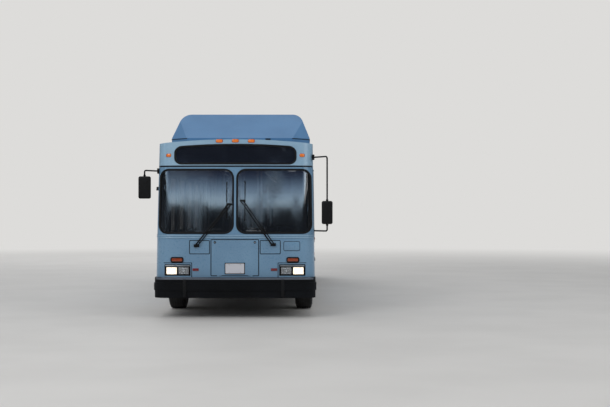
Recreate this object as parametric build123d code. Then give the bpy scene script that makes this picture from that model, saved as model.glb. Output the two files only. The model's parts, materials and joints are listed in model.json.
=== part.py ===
from build123d import *
from math import asin, atan2, cos, degrees, radians, sin, sqrt, tan
import os

os.makedirs("parts", exist_ok=True)

# Low-floor city bus with a gas-tank pod on the roof. Millimetres; z is up from the road,
# the front faces -y, and the driver sits on the +x side. The origin is on the road under the middle.

# Overall sizes
overall_length = 12470
body_width = 2590
bumper_reach = 130
skirt_z = 330
waist_z = 1250
crown_z = 2885
crown_rise = 70
lean_in = 40
roof_corner_radius = 60

# Front and rear caps
front_bow = 55
flat_half = 430
front_corner_radius = 220
windscreen_rake = 130
front_cap_depth = 425
rear_cap_depth = 205
rear_corner_radius = 120
mask_thickness = 60
cap_cut_depth = 320
wall_thickness = 75
roof_thickness = 60
cant_z = 2430
header_z = 2456
header_top_radius = 45

# Gaps
seam = 0.4
leaf_gap = 6
glass_thickness = 10
glass_inset = 8

# Axles and wheels
front_overhang = 2120
rear_overhang = 2910
tyre_radius = 530
tyre_width = 305
tyre_bead_width = 220
rim_radius = 286
rim_wall = 16
tyre_inset = 33
dual_spacing = 340
kingpin_offset = 185
front_arch_radius = 650
rear_arch_radius = 610
wheel_box_wall = 25
front_box_reach = 545
rear_box_reach = 570

# Floors
floor_top = 390
floor_thickness = 60
platform_top = 850
step_riser = 230
platform_setback = 420
step_depth = 270

# Doors
front_door_width = 860
rear_door_width = 1100
rear_door_to_axle = 775
door_bottom = 350
door_thickness = 36
door_frame = 62
hinge_outset = 12
door_glass_low = 640
door_rail = 1180
door_rail_height = 60
door_meeting_gap = 9
door_meeting_bevel = 9
hinge_heights = (480, 2060)
lug_height = 30
lug_length = 34
knuckle_radius = 8

# Windows
window_sill = 1330
window_head = 2350
window_frame = 32
frame_proud = 5
window_pillar = 92
left_windows = 6
right_mid_windows = 4
right_rear_windows = 2
driver_window_start = 60
driver_window_width = 800
driver_window_sill = 1210
first_window_after_cap = 1010
last_window_before_cap = 1150
transom_share = 0.72
transom_height = 26

# Windscreen panes and the sign window
windscreen_sill = 1357
windscreen_head = 2402
centre_pillar = 46
windscreen_side_margin = 32
windscreen_outer_radius = 170
windscreen_inner_radius = 130
sign_width = 1975
sign_low = 2482
sign_high = 2806
sign_radius = 120

# Front panel parts
hatch_width = 754
hatch_low = 684
hatch_high = 1254
hatch_thickness = 40
hatch_gap = 8
hatch_lug_x = 250
hatch_lug_width = 36
hatch_axis_out = 8
hatch_knuckle_radius = 5
wiper_panel_width = 330
wiper_panel_low = 1028
wiper_panel_high = 1250
wiper_panel_x = 570
wiper_panel_gap = 8
panel_groove = 5
rib_low = 1300
rib_height = 14
rib_pitch = 32
rib_proud = 9
headlamp_x = 926
headlamp_z = 770
headlamp_width = 424
headlamp_height = 186
headlamp_depth = 48
lens_width = 178
lens_height = 122
lens_pitch = 196
lens_depth = 26

# Bumpers
bumper_low = 326
bumper_high = 655
bumper_side_reach = 20
bumper_wrap = 330
bumper_radius = 210
bumper_band_low = 445
bumper_band_high = 568
bumper_band_proud = 14
bumper_joint_x = 790
bumper_joint_width = 10

# Roof pod
pod_setback = 1385
pod_tail_gap = 2320
pod_height = 3460
pod_lip_z = 2985
pod_foot_half = 1213
pod_foot_z = 3000
pod_top_half = 1035
pod_shoulder_radius = 190
pod_front_run = 850
pod_rear_run = 520
facet_front_half = 918
facet_run = 380
facet_top_z = 3320

# Rear panel
engine_door_half = 1010
engine_door_low = 700
engine_door_high = 1640
engine_door_thickness = 45
rear_grille_half = 760
rear_grille_low = 2190
rear_grille_high = 2640
louvre_pitch = 62
louvre_thickness = 8
louvre_depth = 40
louvre_rise = 30
radiator_width = 900
radiator_height = 700
radiator_setback = 1255
radiator_z = 850
radiator_pocket = 45
tail_lamp_radius = 52
tail_lamp_x = 1165
rear_bumper_low = 400
rear_bumper_high = 650
rear_bumper_radius = 150

# Steering and front axle
steer_angle = 45
eye_radius = 42
eye_half_height = 60
king_bore = 22
pin_clearance = 0.3
ear_gap = 3
ear_thickness = 45
ear_radius = 48
spindle_radius = 35
hub_face = -105
steer_arm_length = 200
steer_arm_width = 30
tie_rod_z = 283
tie_rod_radius = 18
tie_eye_radius = 19
tie_pin_radius = 12
beam_half_width = 50
beam_low = 215
beam_high = 300
spring_radius = 95
spring_x = 705
spring_low = 590
spring_high = 780

# Rear axle, engine and frame
axle_tube_radius = 72
axle_slot_half = 130
nose_half = 85
diff_radius = 190
diff_half_length = 150
rail_inner = 400
rail_outer = 480
rail_low = 690
engine_half = 375
engine_length = 1250
engine_setback = 255
engine_low = 420
engine_high = 1100
gearbox_radius = 240
gearbox_length = 620
shaft_radius = 45
rear_spring_setback = 340

# Inside
rest_gap = 0.3
rear_deck = 1180
podium_top = 560
ceiling_rail_z = 1950
stanchion_radius = 17
stanchion_x = 300
rail_radius = 14
seat_pair_width = 860
seat_height = 430
seat_back_height = 960
dash_high = 1240
steering_wheel_radius = 235
seat_depth = 440
seat_back_lean = 80
seat_back_thickness = 45
seat_cushion = 60
seat_pitch = 770
seat_wall_gap = 34
seat_front_gap = 760
platform_seat_setback = 660
bench_height = 110
bench_width = 900
driver_x = 710
driver_seat_width = 480
driver_seat_height = 400
screen_top = 1900
stanchion_before_axle = 300
stanchion_after_axle = 1500
stanchion_before_door = 150
dash_setback = 190
dash_shelf_depth = 120
dash_side_gap = 170
dash_back_gap = 60
binnacle_half = 280
steering_wheel_tilt = 28
steering_rim_width = 26
steering_rim_thickness = 22
column_width = 70
farebox_x = (180, 400)
farebox_length = 210
farebox_top = 1330

# Escape hatch on the roof
lid_size = 620
lid_corner = 60
lid_setback = 900
lid_proud = 45
screen_thickness = 25

# Wipers
wiper_pivot_x = 618
wiper_arm_gap = 44
wiper_arm_width = 12
wiper_arm_depth = 10
wiper_stand_off = 34
wiper_blade_shift = 50
wiper_blade_width = 14
wiper_blade_depth = 26

# Small lamps
signal_x = 934
signal_z = 935
signal_width = 203
signal_height = 82
signal_radius = 28
signal_proud = 14
crown_marker_width = 110
crown_marker_height = 48
crown_marker_pitch = 260
side_marker_x = 1085
side_marker_width = 80
side_marker_low = 2600
side_marker_high = 2655
stop_lamp_z = 1290
turn_lamp_z = 1150
reverse_lamp_z = 1010
tail_lamp_proud = 22
high_lamp_x = 900
high_lamp_width = 300
high_lamp_low = 2700
high_lamp_high = 2745

# Mirrors
mirror_reach = 1575
mirror_width = 200
mirror_depth = 90
mirror_setback = -30
mirror_radius = 30
mirror_rim = 15
mirror_face_thickness = 5
mirror_tube_radius = 12
mirror_foot_setback = 340
mirror_foot_inset = 60
kerb_mirror_z = 2100
kerb_mirror_height = 360
kerb_arm_z = 2375
street_mirror_z = 1697
street_mirror_height = 374
street_low_arm_z = 1400
street_high_arm_z = 2600

# Places worked out from the sizes
half_width = body_width / 2
front_end = -overall_length / 2
rear_end = overall_length / 2
front_face = front_end + bumper_reach
rear_face = rear_end - bumper_reach
front_seam = front_face + front_cap_depth
rear_seam = rear_face - rear_cap_depth
front_axle_y = front_end + front_overhang
wheelbase = overall_length - front_overhang - rear_overhang
rear_axle_y = front_axle_y + wheelbase
engine_end = rear_face - engine_setback
engine_start = engine_end - engine_length
radiator_y = rear_face - radiator_setback
front_door_start = front_seam
front_door_end = front_door_start + front_door_width
rear_door_end = rear_axle_y - rear_door_to_axle
rear_door_start = rear_door_end - rear_door_width
door_top = cant_z - leaf_gap
lean_height = crown_z - skirt_z
rake_height = crown_z - waist_z
lean_angle = degrees(atan2(lean_in, lean_height))
rake_angle = atan2(windscreen_rake, rake_height)
bow_angle = atan2(front_bow, half_width - flat_half)
wheel_x = half_width - tyre_inset - tyre_width / 2
kingpin_x = wheel_x - kingpin_offset


def block(x, y, z):
    """A box from three (low, high) pairs."""
    size = [b - a for a, b in (x, y, z)]
    centre = [(a + b) / 2 for a, b in (x, y, z)]
    return Pos(*centre) * Box(*size)


def along_x(outline, x0, x1):
    """An outline drawn in (y, z), pulled from x0 to x1."""
    return extrude(Plane.YZ.offset(x0) * outline, x1 - x0)


def along_y(outline, y0, y1):
    """An outline drawn in (x, z), pulled from y0 to y1."""
    start = Plane(origin=(0, y1, 0), x_dir=(1, 0, 0), z_dir=(0, -1, 0))
    return extrude(start * outline, y1 - y0)


def along_z(outline, z0, z1):
    """An outline drawn in (x, y), pulled from z0 to z1."""
    return extrude(Plane.XY.offset(z0) * outline, z1 - z0)


def polygon(*points):
    return make_face(Polyline(*points, close=True))


def rounded(width, height, radius, x=0, y=0):
    return Pos(x, y) * RectangleRounded(width, height, radius)


def to_left_and_right(shape):
    return [shape, mirror(shape, Plane.YZ)]


def save(name, *shapes):
    """Writes one node; what is passed may be shapes or lists of shapes."""
    flat = []
    for shape in shapes:
        flat += shape if isinstance(shape, (list, tuple)) else [shape]
    solids = [solid for shape in flat for solid in shape.solids()]
    export_step(Compound(solids) if len(solids) > 1 else solids[0], f"parts/{name}.step")


def wall_x(z, inset=0):
    """Half the body's width at a height, less an inset."""
    return half_width - inset - lean_in * (z - skirt_z) / lean_height


def nose_plan(front, half, back):
    """Plan of a front: flat in the middle and swept back on both sides, with square corners."""
    sweep = (half - flat_half) * tan(bow_angle)
    return polygon(
        (-half, front + sweep), (-flat_half, front), (flat_half, front), (half, front + sweep),
        (half, back), (-half, back),
    )


def cap_plan(half, front, back, radius):
    """Plan of a cap with round front corners."""
    face = nose_plan(front, half, back)
    corners = [v for v in face.vertices() if abs(v.X) > flat_half + 1 and v.Y < back - 1]
    return fillet(corners, radius)


def front_volume(inset=0, back=None):
    """The front end as a solid, upright below the waist and raked above it, with round corners."""
    back = front_seam if back is None else back
    top = crown_z + 80
    low = along_z(nose_plan(front_face + inset, half_width + 50, back), skirt_z, waist_z)
    slope = (0, sin(rake_angle), cos(rake_angle))
    raked_plan = Plane.XY.offset(waist_z) * nose_plan(front_face + inset, half_width + 50, back)
    raked = extrude(raked_plan, (top - waist_z) / cos(rake_angle), dir=slope)
    low_x, high_x = wall_x(skirt_z, inset), wall_x(top, inset)
    section = polygon((-low_x, skirt_z), (low_x, skirt_z), (high_x, top), (-high_x, top))
    made = (low + raked) & along_y(section, front_face - 1, back)
    corners = []
    for edge in made.edges():
        at, size = edge.center(), edge.bounding_box().size
        if size.Z > 300 and abs(at.X) > half_width - 150 and at.Y < back - 50:
            corners.append(edge)
    return fillet(corners, front_corner_radius - inset)


def crown_outline(inset=0, low=skirt_z):
    """Section under the roof line, wide at the sides, with the crowned top."""
    side = half_width + 200
    drop = crown_rise * (side / half_width) ** 2
    arc = ThreePointArc(
        (-side, crown_z - inset - drop), (0, crown_z - inset), (side, crown_z - inset - drop)
    )
    rest = Polyline(
        (side, crown_z - inset - drop), (side, low), (-side, low), (-side, crown_z - inset - drop)
    )
    return make_face(arc + rest)


def body_section(inset=0, top_inset=None, low=skirt_z, radius=roof_corner_radius):
    """The body's cross-section: walls that lean in a little and a crowned roof."""
    top_inset = inset if top_inset is None else top_inset
    x_low = wall_x(low, inset)
    x_top = wall_x(crown_z - crown_rise, inset)
    corner_z = crown_z - top_inset - crown_rise * (x_top / half_width) ** 2
    walls = Polyline((x_top, corner_z), (x_low, low), (-x_low, low), (-x_top, corner_z))
    roof = ThreePointArc((-x_top, corner_z), (0, crown_z - top_inset), (x_top, corner_z))
    face = make_face(walls + roof)
    corners = [v for v in face.vertices() if v.Y > corner_z - 1]
    return fillet(corners, radius) if radius else face


def wall_plane(z, inset=0):
    """A plane in the leaning +x wall at height z: its x runs along +y, its y up the wall."""
    a = radians(lean_angle)
    return Plane(
        origin=(wall_x(z, inset), 0, z), x_dir=(0, 1, 0), z_dir=(cos(a), 0, sin(a))
    )


def bays(start, end, count):
    """Centres and widths of like windows between two places, with a pillar between them."""
    pitch = (end - start) / count
    return [(start + pitch * (i + 0.5), pitch - window_pillar) for i in range(count)]


left_bays = bays(front_seam + first_window_after_cap, rear_seam - last_window_before_cap, left_windows)
right_mid_bays = bays(
    front_door_end + window_pillar / 2, rear_door_start - window_pillar / 2, right_mid_windows,
)
right_rear_bays = bays(
    rear_door_end + window_pillar / 2, rear_seam - last_window_before_cap, right_rear_windows,
)
driver_bay = (front_seam + driver_window_start + driver_window_width / 2, driver_window_width)


def window_cut(bay, sill, grow=0):
    """A hole through the +x wall for a window."""
    centre, width = bay
    height = window_head - sill
    plane = wall_plane((window_head + sill) / 2)
    outline = Pos(centre, 0) * Rectangle(width + 2 * grow, height + 2 * grow)
    return extrude(plane * outline, wall_thickness * 2, both=True)


def arch_cut(axle_y, radius):
    """The wheel arch: round over the wheel and straight down below it."""
    round_part = Pos(axle_y, tyre_radius) * Circle(radius)
    below = Pos(axle_y, (tyre_radius + skirt_z - 100) / 2) * Rectangle(
        2 * radius, tyre_radius - skirt_z + 100
    )
    return along_x(round_part + below, 0, half_width + 100)


def wall(start, end, window_list, axles):
    """A stretch of the +x wall between two places, with its windows and arches cut."""
    outer = along_y(body_section(0, radius=0), start, end)
    inner = along_y(body_section(wall_thickness, radius=0), start - 1, end + 1)
    keep = block((0, half_width + 1), (start - 1, end + 1), (skirt_z, cant_z))
    made = (outer - inner) & keep
    for bay, sill in window_list:
        made -= window_cut(bay, sill)
    for axle_y, radius in axles:
        made -= arch_cut(axle_y, radius)
    return made


def walls(lugs):
    both_arches = [(front_axle_y, front_arch_radius), (rear_axle_y, rear_arch_radius)]
    panes = [(driver_bay, driver_window_sill)] + [(b, window_sill) for b in left_bays]
    left = wall(front_seam + seam, rear_seam - seam, panes, both_arches)
    grille = along_x(
        rounded(
            radiator_width, radiator_height, 30, radiator_y, radiator_z,
        ), half_width - radiator_pocket, half_width + 1
    )
    left -= grille
    mid = wall(
        front_door_end, rear_door_start, [(b, window_sill) for b in right_mid_bays], both_arches[:1]
    )
    rear = wall(rear_door_end, rear_seam - seam, [(b, window_sill) for b in right_rear_bays], both_arches[1:])
    save("wall_left", left)
    for name, made in (("wall_right_mid", mid), ("wall_right_rear", rear)):
        made = mirror(made, Plane.YZ)
        for lug in lugs[name]:
            made += lug
        save(name, made)


def window_set(bay, sill):
    """One window: a black frame with its transom, and the glass behind the transom."""
    centre, width = bay
    fit_width = width - 2 * seam
    fit_height = window_head - sill - 2 * seam
    plane = wall_plane((window_head + sill) / 2)
    depth = glass_thickness + 30
    ring = extrude(
        plane.offset(-depth) * Pos(centre, 0) * Rectangle(fit_width, fit_height), depth + frame_proud,
    )
    hole = Pos(centre, 0) * Rectangle(fit_width - 2 * window_frame, fit_height - 2 * window_frame)
    ring -= extrude(plane * hole, depth * 2, both=True)
    bar_y = fit_height * (transom_share - 0.5)
    bar = Pos(centre, bar_y) * Rectangle(fit_width - window_frame * 2 + 2, transom_height)
    ring += extrude(plane * bar, -glass_inset)
    light = Pos(centre, 0) * Rectangle(
        fit_width - 2 * window_frame - 2 * seam, fit_height - 2 * window_frame - 2 * seam
    )
    pane = extrude(plane.offset(-glass_inset - seam) * light, -glass_thickness)
    return ring, pane


def side_windows():
    frames, panes = [], []
    for bay in left_bays:
        ring, pane = window_set(bay, window_sill)
        frames.append(ring)
        panes.append(pane)
    ring, pane = window_set(driver_bay, driver_window_sill)
    frames.append(ring)
    panes.append(pane)
    for bay in right_mid_bays + right_rear_bays:
        ring, pane = window_set(bay, window_sill)
        frames.append(mirror(ring, Plane.YZ))
        panes.append(mirror(pane, Plane.YZ))
    save("window_frames", frames)
    save("window_panes", panes)


def roof():
    start, end = front_seam + seam, rear_seam - seam
    outer = along_y(body_section(), start, end)
    inner = along_y(
        body_section(wall_thickness, roof_thickness, radius=roof_corner_radius), start - 1, end + 1
    )
    keep = block((-half_width, half_width), (start, end), (cant_z + seam, crown_z + 1))
    made = (outer - inner) & keep
    return made


def windscreen_outline(shrink=0):
    """One windscreen pane in front view, on the +x side; its outer edge follows the body."""
    low, high = windscreen_sill + shrink, windscreen_head - shrink
    inner = centre_pillar / 2 + shrink
    outer_low = wall_x(low) - windscreen_side_margin - shrink
    outer_high = wall_x(high) - windscreen_side_margin - shrink
    face = polygon((inner, low), (outer_low, low), (outer_high, high), (inner, high))
    inner_corners = [v for v in face.vertices() if v.X < half_width / 2]
    face = fillet(inner_corners, windscreen_inner_radius - shrink)
    outer_corners = [
        v for v in face.vertices() if v.X > outer_high - 1 and (v.Y < low + 1 or v.Y > high - 1)
    ]
    return fillet(outer_corners, windscreen_outer_radius - shrink)


def sign_outline(shrink=0):
    """The sign window: straight below, with its top edge following the roof's crown."""
    side = sign_width / 2 - shrink
    low, high = sign_low + shrink, sign_high - shrink
    dip = crown_rise * (side / half_width) ** 2
    top = ThreePointArc((-side, high - dip), (0, high), (side, high - dip))
    rest = Polyline((side, high - dip), (side, low), (-side, low), (-side, high - dip))
    face = make_face(top + rest)
    return fillet(face.vertices(), sign_radius - shrink)


def front_surface_y(x):
    """Place of the front's outer skin at a distance from the centreline, below the waist."""
    return front_face + max(0, abs(x) - flat_half) * tan(bow_angle)


def lamp_plane(x, z, inset=0):
    """A plane on the front skin at x, facing out of it: its x runs across, its y up."""
    turn = 0 if abs(x) < flat_half else (bow_angle if x > 0 else -bow_angle)
    normal = (sin(turn), -cos(turn), 0)
    origin = Vector(x, front_surface_y(x), z) - Vector(*normal) * inset
    return Plane(origin=origin, x_dir=(cos(turn), sin(turn), 0), z_dir=normal)


def front_shell():
    """The whole front as a shell, from which the lower mask and the header are taken."""
    outer = front_volume() & along_y(crown_outline(), front_face - 1, front_seam)
    inner = front_volume(mask_thickness, back=front_seam + 1) & along_y(
        crown_outline(roof_thickness, skirt_z - 1), front_face, front_seam + 1
    )
    return outer, inner


def front_mask(outer, inner):
    keep = block(
        (-half_width - 1, half_width + 1), (front_face - 1, front_seam + 1), (skirt_z, header_z - seam),
    )
    made = (outer - inner) & keep
    proud = front_volume(-rib_proud) - front_volume()
    for low in (rib_low, rib_low + rib_pitch):
        made += proud & block(
            (-half_width, half_width), (front_face - rib_proud - 1, front_seam), (low, low + rib_height)
        )
    pane = along_y(windscreen_outline(), front_face - rib_proud - 1, front_face + cap_cut_depth)
    for cut in to_left_and_right(pane):
        made -= cut
    hatch_hole = Pos(0, (hatch_high + hatch_low) / 2) * Rectangle(
        hatch_width + 2 * hatch_gap, hatch_high - hatch_low + 2 * hatch_gap
    )
    made -= along_y(hatch_hole, front_face - 1, front_face + cap_cut_depth)
    for side in (-1, 1):
        lamp = lamp_plane(side * headlamp_x, headlamp_z)
        made -= extrude(lamp * Rectangle(headlamp_width, headlamp_height), headlamp_depth, both=True)
        middle = (wiper_panel_low + wiper_panel_high) / 2
        panel_height = wiper_panel_high - wiper_panel_low
        at = lamp_plane(side * wiper_panel_x, middle)
        outline = Rectangle(wiper_panel_width, panel_height)
        inside = Rectangle(wiper_panel_width - 2 * wiper_panel_gap, panel_height - 2 * wiper_panel_gap)
        made -= extrude(at.offset(1) * (outline - inside), -1 - panel_groove)
    return made


def windscreen(outer, inner):
    """The two curved panes, set in from the skin."""
    skin = front_volume(glass_inset) - front_volume(glass_inset + glass_thickness, back=front_seam + 1)
    reach = front_face + cap_cut_depth
    pane = along_y(windscreen_outline(seam), front_face - 1, reach) & skin
    return to_left_and_right(pane)


def front_header(outer, inner):
    keep = block((-half_width - 1, half_width + 1), (front_face - 1, front_seam + 1), (header_z, crown_z + 1))
    made = (outer - inner) & keep
    made -= along_y(sign_outline(), front_face - 1, front_face + cap_cut_depth)
    skin = front_volume(glass_inset) - front_volume(glass_inset + glass_thickness, back=front_seam + 1)
    pane = along_y(sign_outline(seam), front_face - 1, front_face + cap_cut_depth) & skin
    return made, pane


def hinge_lugs(jamb, side):
    """Lugs of one door leaf: those on the wall before the jamb, and those on the leaf."""
    wall_lugs, leaf_lugs = [], []
    axis_x = half_width + hinge_outset
    for low in hinge_heights:
        root = wall_x(low + 2 * lug_height, door_thickness / 2)
        start = jamb - side * lug_length
        wall_lugs.append(block((root, axis_x + 8), sorted((start, jamb)), (low, low + lug_height)))
        wall_lugs.append(Pos(axis_x, jamb, low) * extrude(Circle(knuckle_radius), lug_height))
        top = low + lug_height + rest_gap
        end = jamb + side * lug_length
        leaf_lugs.append(
            block((root, axis_x + 8), sorted((jamb + side * leaf_gap, end)), (top, top + lug_height)),
        )
        leaf_lugs.append(block((axis_x - 8, axis_x + 8), sorted((jamb, end)), (top, top + lug_height)))
        leaf_lugs.append(Pos(axis_x, jamb, top) * extrude(Circle(knuckle_radius), lug_height))
    return wall_lugs, leaf_lugs


def door_leaf(jamb, width, side):
    """One outward-swinging leaf beside the jamb: its frame with two lights, and the glass."""
    outer = half_width + 1
    inner = half_width - door_thickness - lean_in - 1
    edge = jamb + side * leaf_gap
    meet = jamb + side * width
    plan = polygon((outer, edge), (outer, meet), (inner, meet - side * door_meeting_bevel), (inner, edge))
    start, end = sorted((jamb, meet))
    skin = along_y(body_section(0, radius=0), start, end) - along_y(
        body_section(door_thickness, radius=0), start - 1, end + 1
    )
    leaf = skin & along_z(plan, door_bottom, door_top)
    centre = (edge + meet - side * door_meeting_bevel / 2) / 2
    glass_width = width - leaf_gap - door_meeting_bevel / 2 - 2 * door_frame
    panes = []
    lights = [
        (door_glass_low, door_rail - door_rail_height / 2), (door_rail + door_rail_height / 2, window_head),
    ]
    for low, high in lights:
        plane = wall_plane((low + high) / 2)
        hole = Pos(centre, 0) * Rectangle(glass_width, high - low)
        leaf -= extrude(plane * hole, 2 * door_thickness, both=True)
        fit = Pos(centre, 0) * Rectangle(glass_width - 2 * seam, high - low - 2 * seam)
        panes.append(extrude(plane.offset(-door_thickness / 2) * fit, -glass_thickness / 2))
    return leaf, panes


def doors():
    """Both doorways: four leaves, and the wall lugs that carry them, keyed by their node."""
    lugs = {"front_mask": [], "wall_right_mid": [], "wall_right_rear": []}
    doorways = [
        # name, start, end, node before it, node after it
        ("front_door", front_door_start, front_door_end, "front_mask", "wall_right_mid"),
        ("rear_door", rear_door_start, rear_door_end, "wall_right_mid", "wall_right_rear"),
    ]
    for name, start, end, before, after in doorways:
        width = (end - start - door_meeting_gap) / 2
        for leaf_name, jamb, side, node in (("fore", start, 1, before), ("aft", end, -1, after)):
            leaf, panes = door_leaf(jamb, width, side)
            wall_lugs, leaf_lugs = hinge_lugs(jamb, side)
            lugs[node] += [mirror(lug, Plane.YZ) for lug in wall_lugs]
            for lug in leaf_lugs:
                leaf += lug
            save(f"{name}_{leaf_name}", mirror(leaf, Plane.YZ))
            save(f"{name}_{leaf_name}_glass", [mirror(pane, Plane.YZ) for pane in panes])
    return lugs


def front_hatch():
    panel = block(
        (-hatch_width / 2, hatch_width / 2), (
            front_face, front_face + hatch_thickness,
        ), (hatch_low, hatch_high)
    )
    mask_lugs = []
    axis_y = front_face - hatch_axis_out
    r = hatch_knuckle_radius
    for side in (-1, 1):
        a = side * hatch_lug_x
        b = side * (hatch_lug_x + hatch_lug_width)
        c = side * (hatch_lug_x - rest_gap)
        d = side * (hatch_lug_x - hatch_lug_width)
        knuckle_y = (axis_y - r, axis_y + r)
        mask_lugs.append(block(sorted((a, b)), knuckle_y, (hatch_low - 24, hatch_low)))
        mask_lugs.append(rod((a, axis_y, hatch_low), (b, axis_y, hatch_low), r))
        mask_lugs.append(
            block(sorted((a, b)), (axis_y - r, front_face + 12), (hatch_low - 24, hatch_low - 10)),
        )
        panel += block(sorted((c, d)), (axis_y, front_face + 12), (hatch_low - r, hatch_low + r))
        panel += rod((c, axis_y, hatch_low), (d, axis_y, hatch_low), r)
    return panel, mask_lugs


def louvres(width, low, high, depth, pitch=louvre_pitch):
    """Slanted slats across the y = 0 plane, drawn in (y, z) and as wide as asked."""
    slats = []
    count = int((high - low) / pitch)
    step = (high - low) / count
    for i in range(count):
        z = low + step * (i + 0.5)
        outline = polygon(
            (depth, z - louvre_rise / 2),
            (depth, z - louvre_rise / 2 + louvre_thickness),
            (0, z + louvre_rise / 2 + louvre_thickness),
            (0, z + louvre_rise / 2),
        )
        slats.append(along_x(outline, -width / 2, width / 2))
    return slats


def rear_volume(inset=0, top_inset=None, front=None):
    """The rear end as a solid, set in by inset from the skin."""
    front = rear_seam if front is None else front
    top_inset = inset if top_inset is None else top_inset
    prism = along_y(body_section(inset, top_inset, radius=roof_corner_radius), front, rear_face - inset)
    radius = rear_corner_radius - inset
    plan = Pos(0, front + (rear_face - inset - front) / 2 - radius) * Rectangle(
        2 * (half_width - inset), rear_face - inset - front + 2 * radius
    )
    plan = fillet([v for v in plan.vertices() if v.Y > rear_face - inset - 1], radius)
    side_radius = roof_corner_radius + 20 - inset
    side = Pos(
        (front + rear_face - inset) / 2 - side_radius, (skirt_z + crown_z - top_inset) / 2 - 50,
    ) * Rectangle(
        rear_face - inset - front + 2 * side_radius, crown_z - top_inset - skirt_z + 100
    )
    side = fillet(
        [v for v in side.vertices() if v.X > rear_face - inset - 1 and v.Y > crown_z - 200], side_radius
    )
    return prism & along_z(plan, skirt_z, crown_z + 1) & along_x(side, -half_width - 1, half_width + 1)


def rear_wall():
    made = rear_volume() - rear_volume(mask_thickness, roof_thickness, rear_seam - 1)
    door_hole = block(
        (-engine_door_half - hatch_gap, engine_door_half + hatch_gap),
        (rear_face - 100, rear_face + 1),
        (engine_door_low - hatch_gap, engine_door_high + hatch_gap),
    )
    grille_hole = block(
        (
            -rear_grille_half, rear_grille_half,
        ), (rear_face - 100, rear_face + 1), (rear_grille_low, rear_grille_high)
    )
    made = made - door_hole - grille_hole
    axis_y = rear_face + hatch_axis_out
    r = hatch_knuckle_radius
    for side in (-1, 1):
        for at in (0.35, 0.85):
            a = side * engine_door_half * at
            b = a + side * hatch_lug_width
            knuckle_y = (axis_y - r, axis_y + r)
            made += block(sorted((a, b)), knuckle_y, (engine_door_high, engine_door_high + 24))
            made += rod((a, axis_y, engine_door_high), (b, axis_y, engine_door_high), r)
            made += block(
                sorted((a, b)), (rear_face - 12, axis_y + r), (engine_door_high + 10, engine_door_high + 24)
            )
    return made


def engine_door():
    made = block(
        (-engine_door_half, engine_door_half),
        (rear_face - engine_door_thickness, rear_face),
        (engine_door_low, engine_door_high),
    )
    half = engine_door_half - 130
    low, high = engine_door_low + 180, engine_door_high - 160
    middle = 40
    for side in (-1, 1):
        centre = side * (half + middle) / 2
        width = half - middle
        made -= block(
            (centre - width / 2, centre + width / 2), (rear_face - 100, rear_face + 1), (low, high)
        )
        for slat in louvres(width, low, high, louvre_depth):
            made += Pos(centre, rear_face - louvre_depth - 3, 0) * slat
    axis_y = rear_face + hatch_axis_out
    r = hatch_knuckle_radius
    for side in (-1, 1):
        for at in (0.35, 0.85):
            a = side * (engine_door_half * at - rest_gap)
            b = a - side * hatch_lug_width
            made += block(
                sorted((a, b)), (rear_face - 12, axis_y), (engine_door_high - r, engine_door_high + r),
            )
            made += rod((a, axis_y, engine_door_high), (b, axis_y, engine_door_high), r)
    return made


def grilles():
    """The air grille over the engine door and the radiator grille in the left wall."""
    gap = rest_gap
    low, high = rear_grille_low + gap, rear_grille_high - gap
    half = rear_grille_half - gap
    rear = block((-half, half), (rear_face - 50, rear_face + 4), (low, high))
    rear -= block((-half + 30, half - 30), (rear_face - 46, rear_face + 5), (low + 30, high - 30))
    for slat in louvres(2 * half - 58, low + 30, high - 30, louvre_depth):
        rear += Pos(0, rear_face - louvre_depth - 2, 0) * slat
    back_x = half_width - radiator_pocket + gap
    half_long = radiator_width / 2 - gap
    half_tall = radiator_height / 2 - gap
    outline = rounded(2 * half_long, 2 * half_tall, 30 - gap, radiator_y, radiator_z)
    inside = Pos(radiator_y, radiator_z) * Rectangle(2 * half_long - 60, 2 * half_tall - 60)
    side = along_x(outline, back_x, half_width + 3) - along_x(inside, back_x - 1, half_width + 4)
    turn = Pos(half_width - louvre_depth - 2, radiator_y, 0) * Rot(0, 0, -90)
    for slat in louvres(
        2 * half_long - 58, radiator_z - half_tall + 30, radiator_z + half_tall - 30, louvre_depth,
    ):
        side += turn * slat
    save("grilles", rear, side)


def headlamps():
    """Two housings in the front's pockets, each with two square lamps behind clear glass."""
    housings, lenses = [], []
    skin = front_volume()
    for side in (-1, 1):
        plane = lamp_plane(side * headlamp_x, headlamp_z)
        fit = Rectangle(headlamp_width - 2 * rest_gap, headlamp_height - 2 * rest_gap)
        housing = extrude(plane * fit, headlamp_depth - rest_gap, both=True) & skin
        for lamp in (-0.5, 0.5):
            at = lamp_plane(side * headlamp_x + lamp * lens_pitch, headlamp_z)
            housing -= extrude(at * Rectangle(lens_width, lens_height), lens_depth, both=True)
            glass = Rectangle(lens_width - 2 * rest_gap, lens_height - 2 * rest_gap)
            lenses.append(
                extrude(at.offset(-lens_depth + rest_gap) * glass, lens_depth - 9) & front_volume(6),
            )
        housings.append(housing)
    save("headlamps", housings)
    save("headlamp_lenses", lenses)


def marker_lamps():
    """Amber lamps: turn signals, and the header's five clearance lamps."""
    lamps = []
    for side in (-1, 1):
        plane = lamp_plane(side * signal_x, signal_z)
        outline = rounded(signal_width, signal_height, signal_radius)
        lamps.append(extrude(plane.offset(rest_gap) * outline, signal_proud))
    body = front_volume(-rest_gap) & along_y(crown_outline(-rest_gap), front_face - 50, front_seam)
    top_y = front_face + windscreen_rake
    half = crown_marker_width / 2
    for x in (-crown_marker_pitch, 0, crown_marker_pitch):
        across, tall = (x - half, x + half), (crown_z - crown_marker_height, crown_z + 6)
        lamps.append(block(across, (top_y - 14, top_y + 30), tall) - body)
    limit = front_volume(-16)
    for side in (-1, 1):
        x = side * side_marker_x
        across = (x - side_marker_width / 2, x + side_marker_width / 2)
        lamp = block(across, (front_face - 10, front_face + 400), (side_marker_low, side_marker_high))
        lamps.append((lamp - body) & limit)
    save("marker_lamps", lamps)


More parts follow.
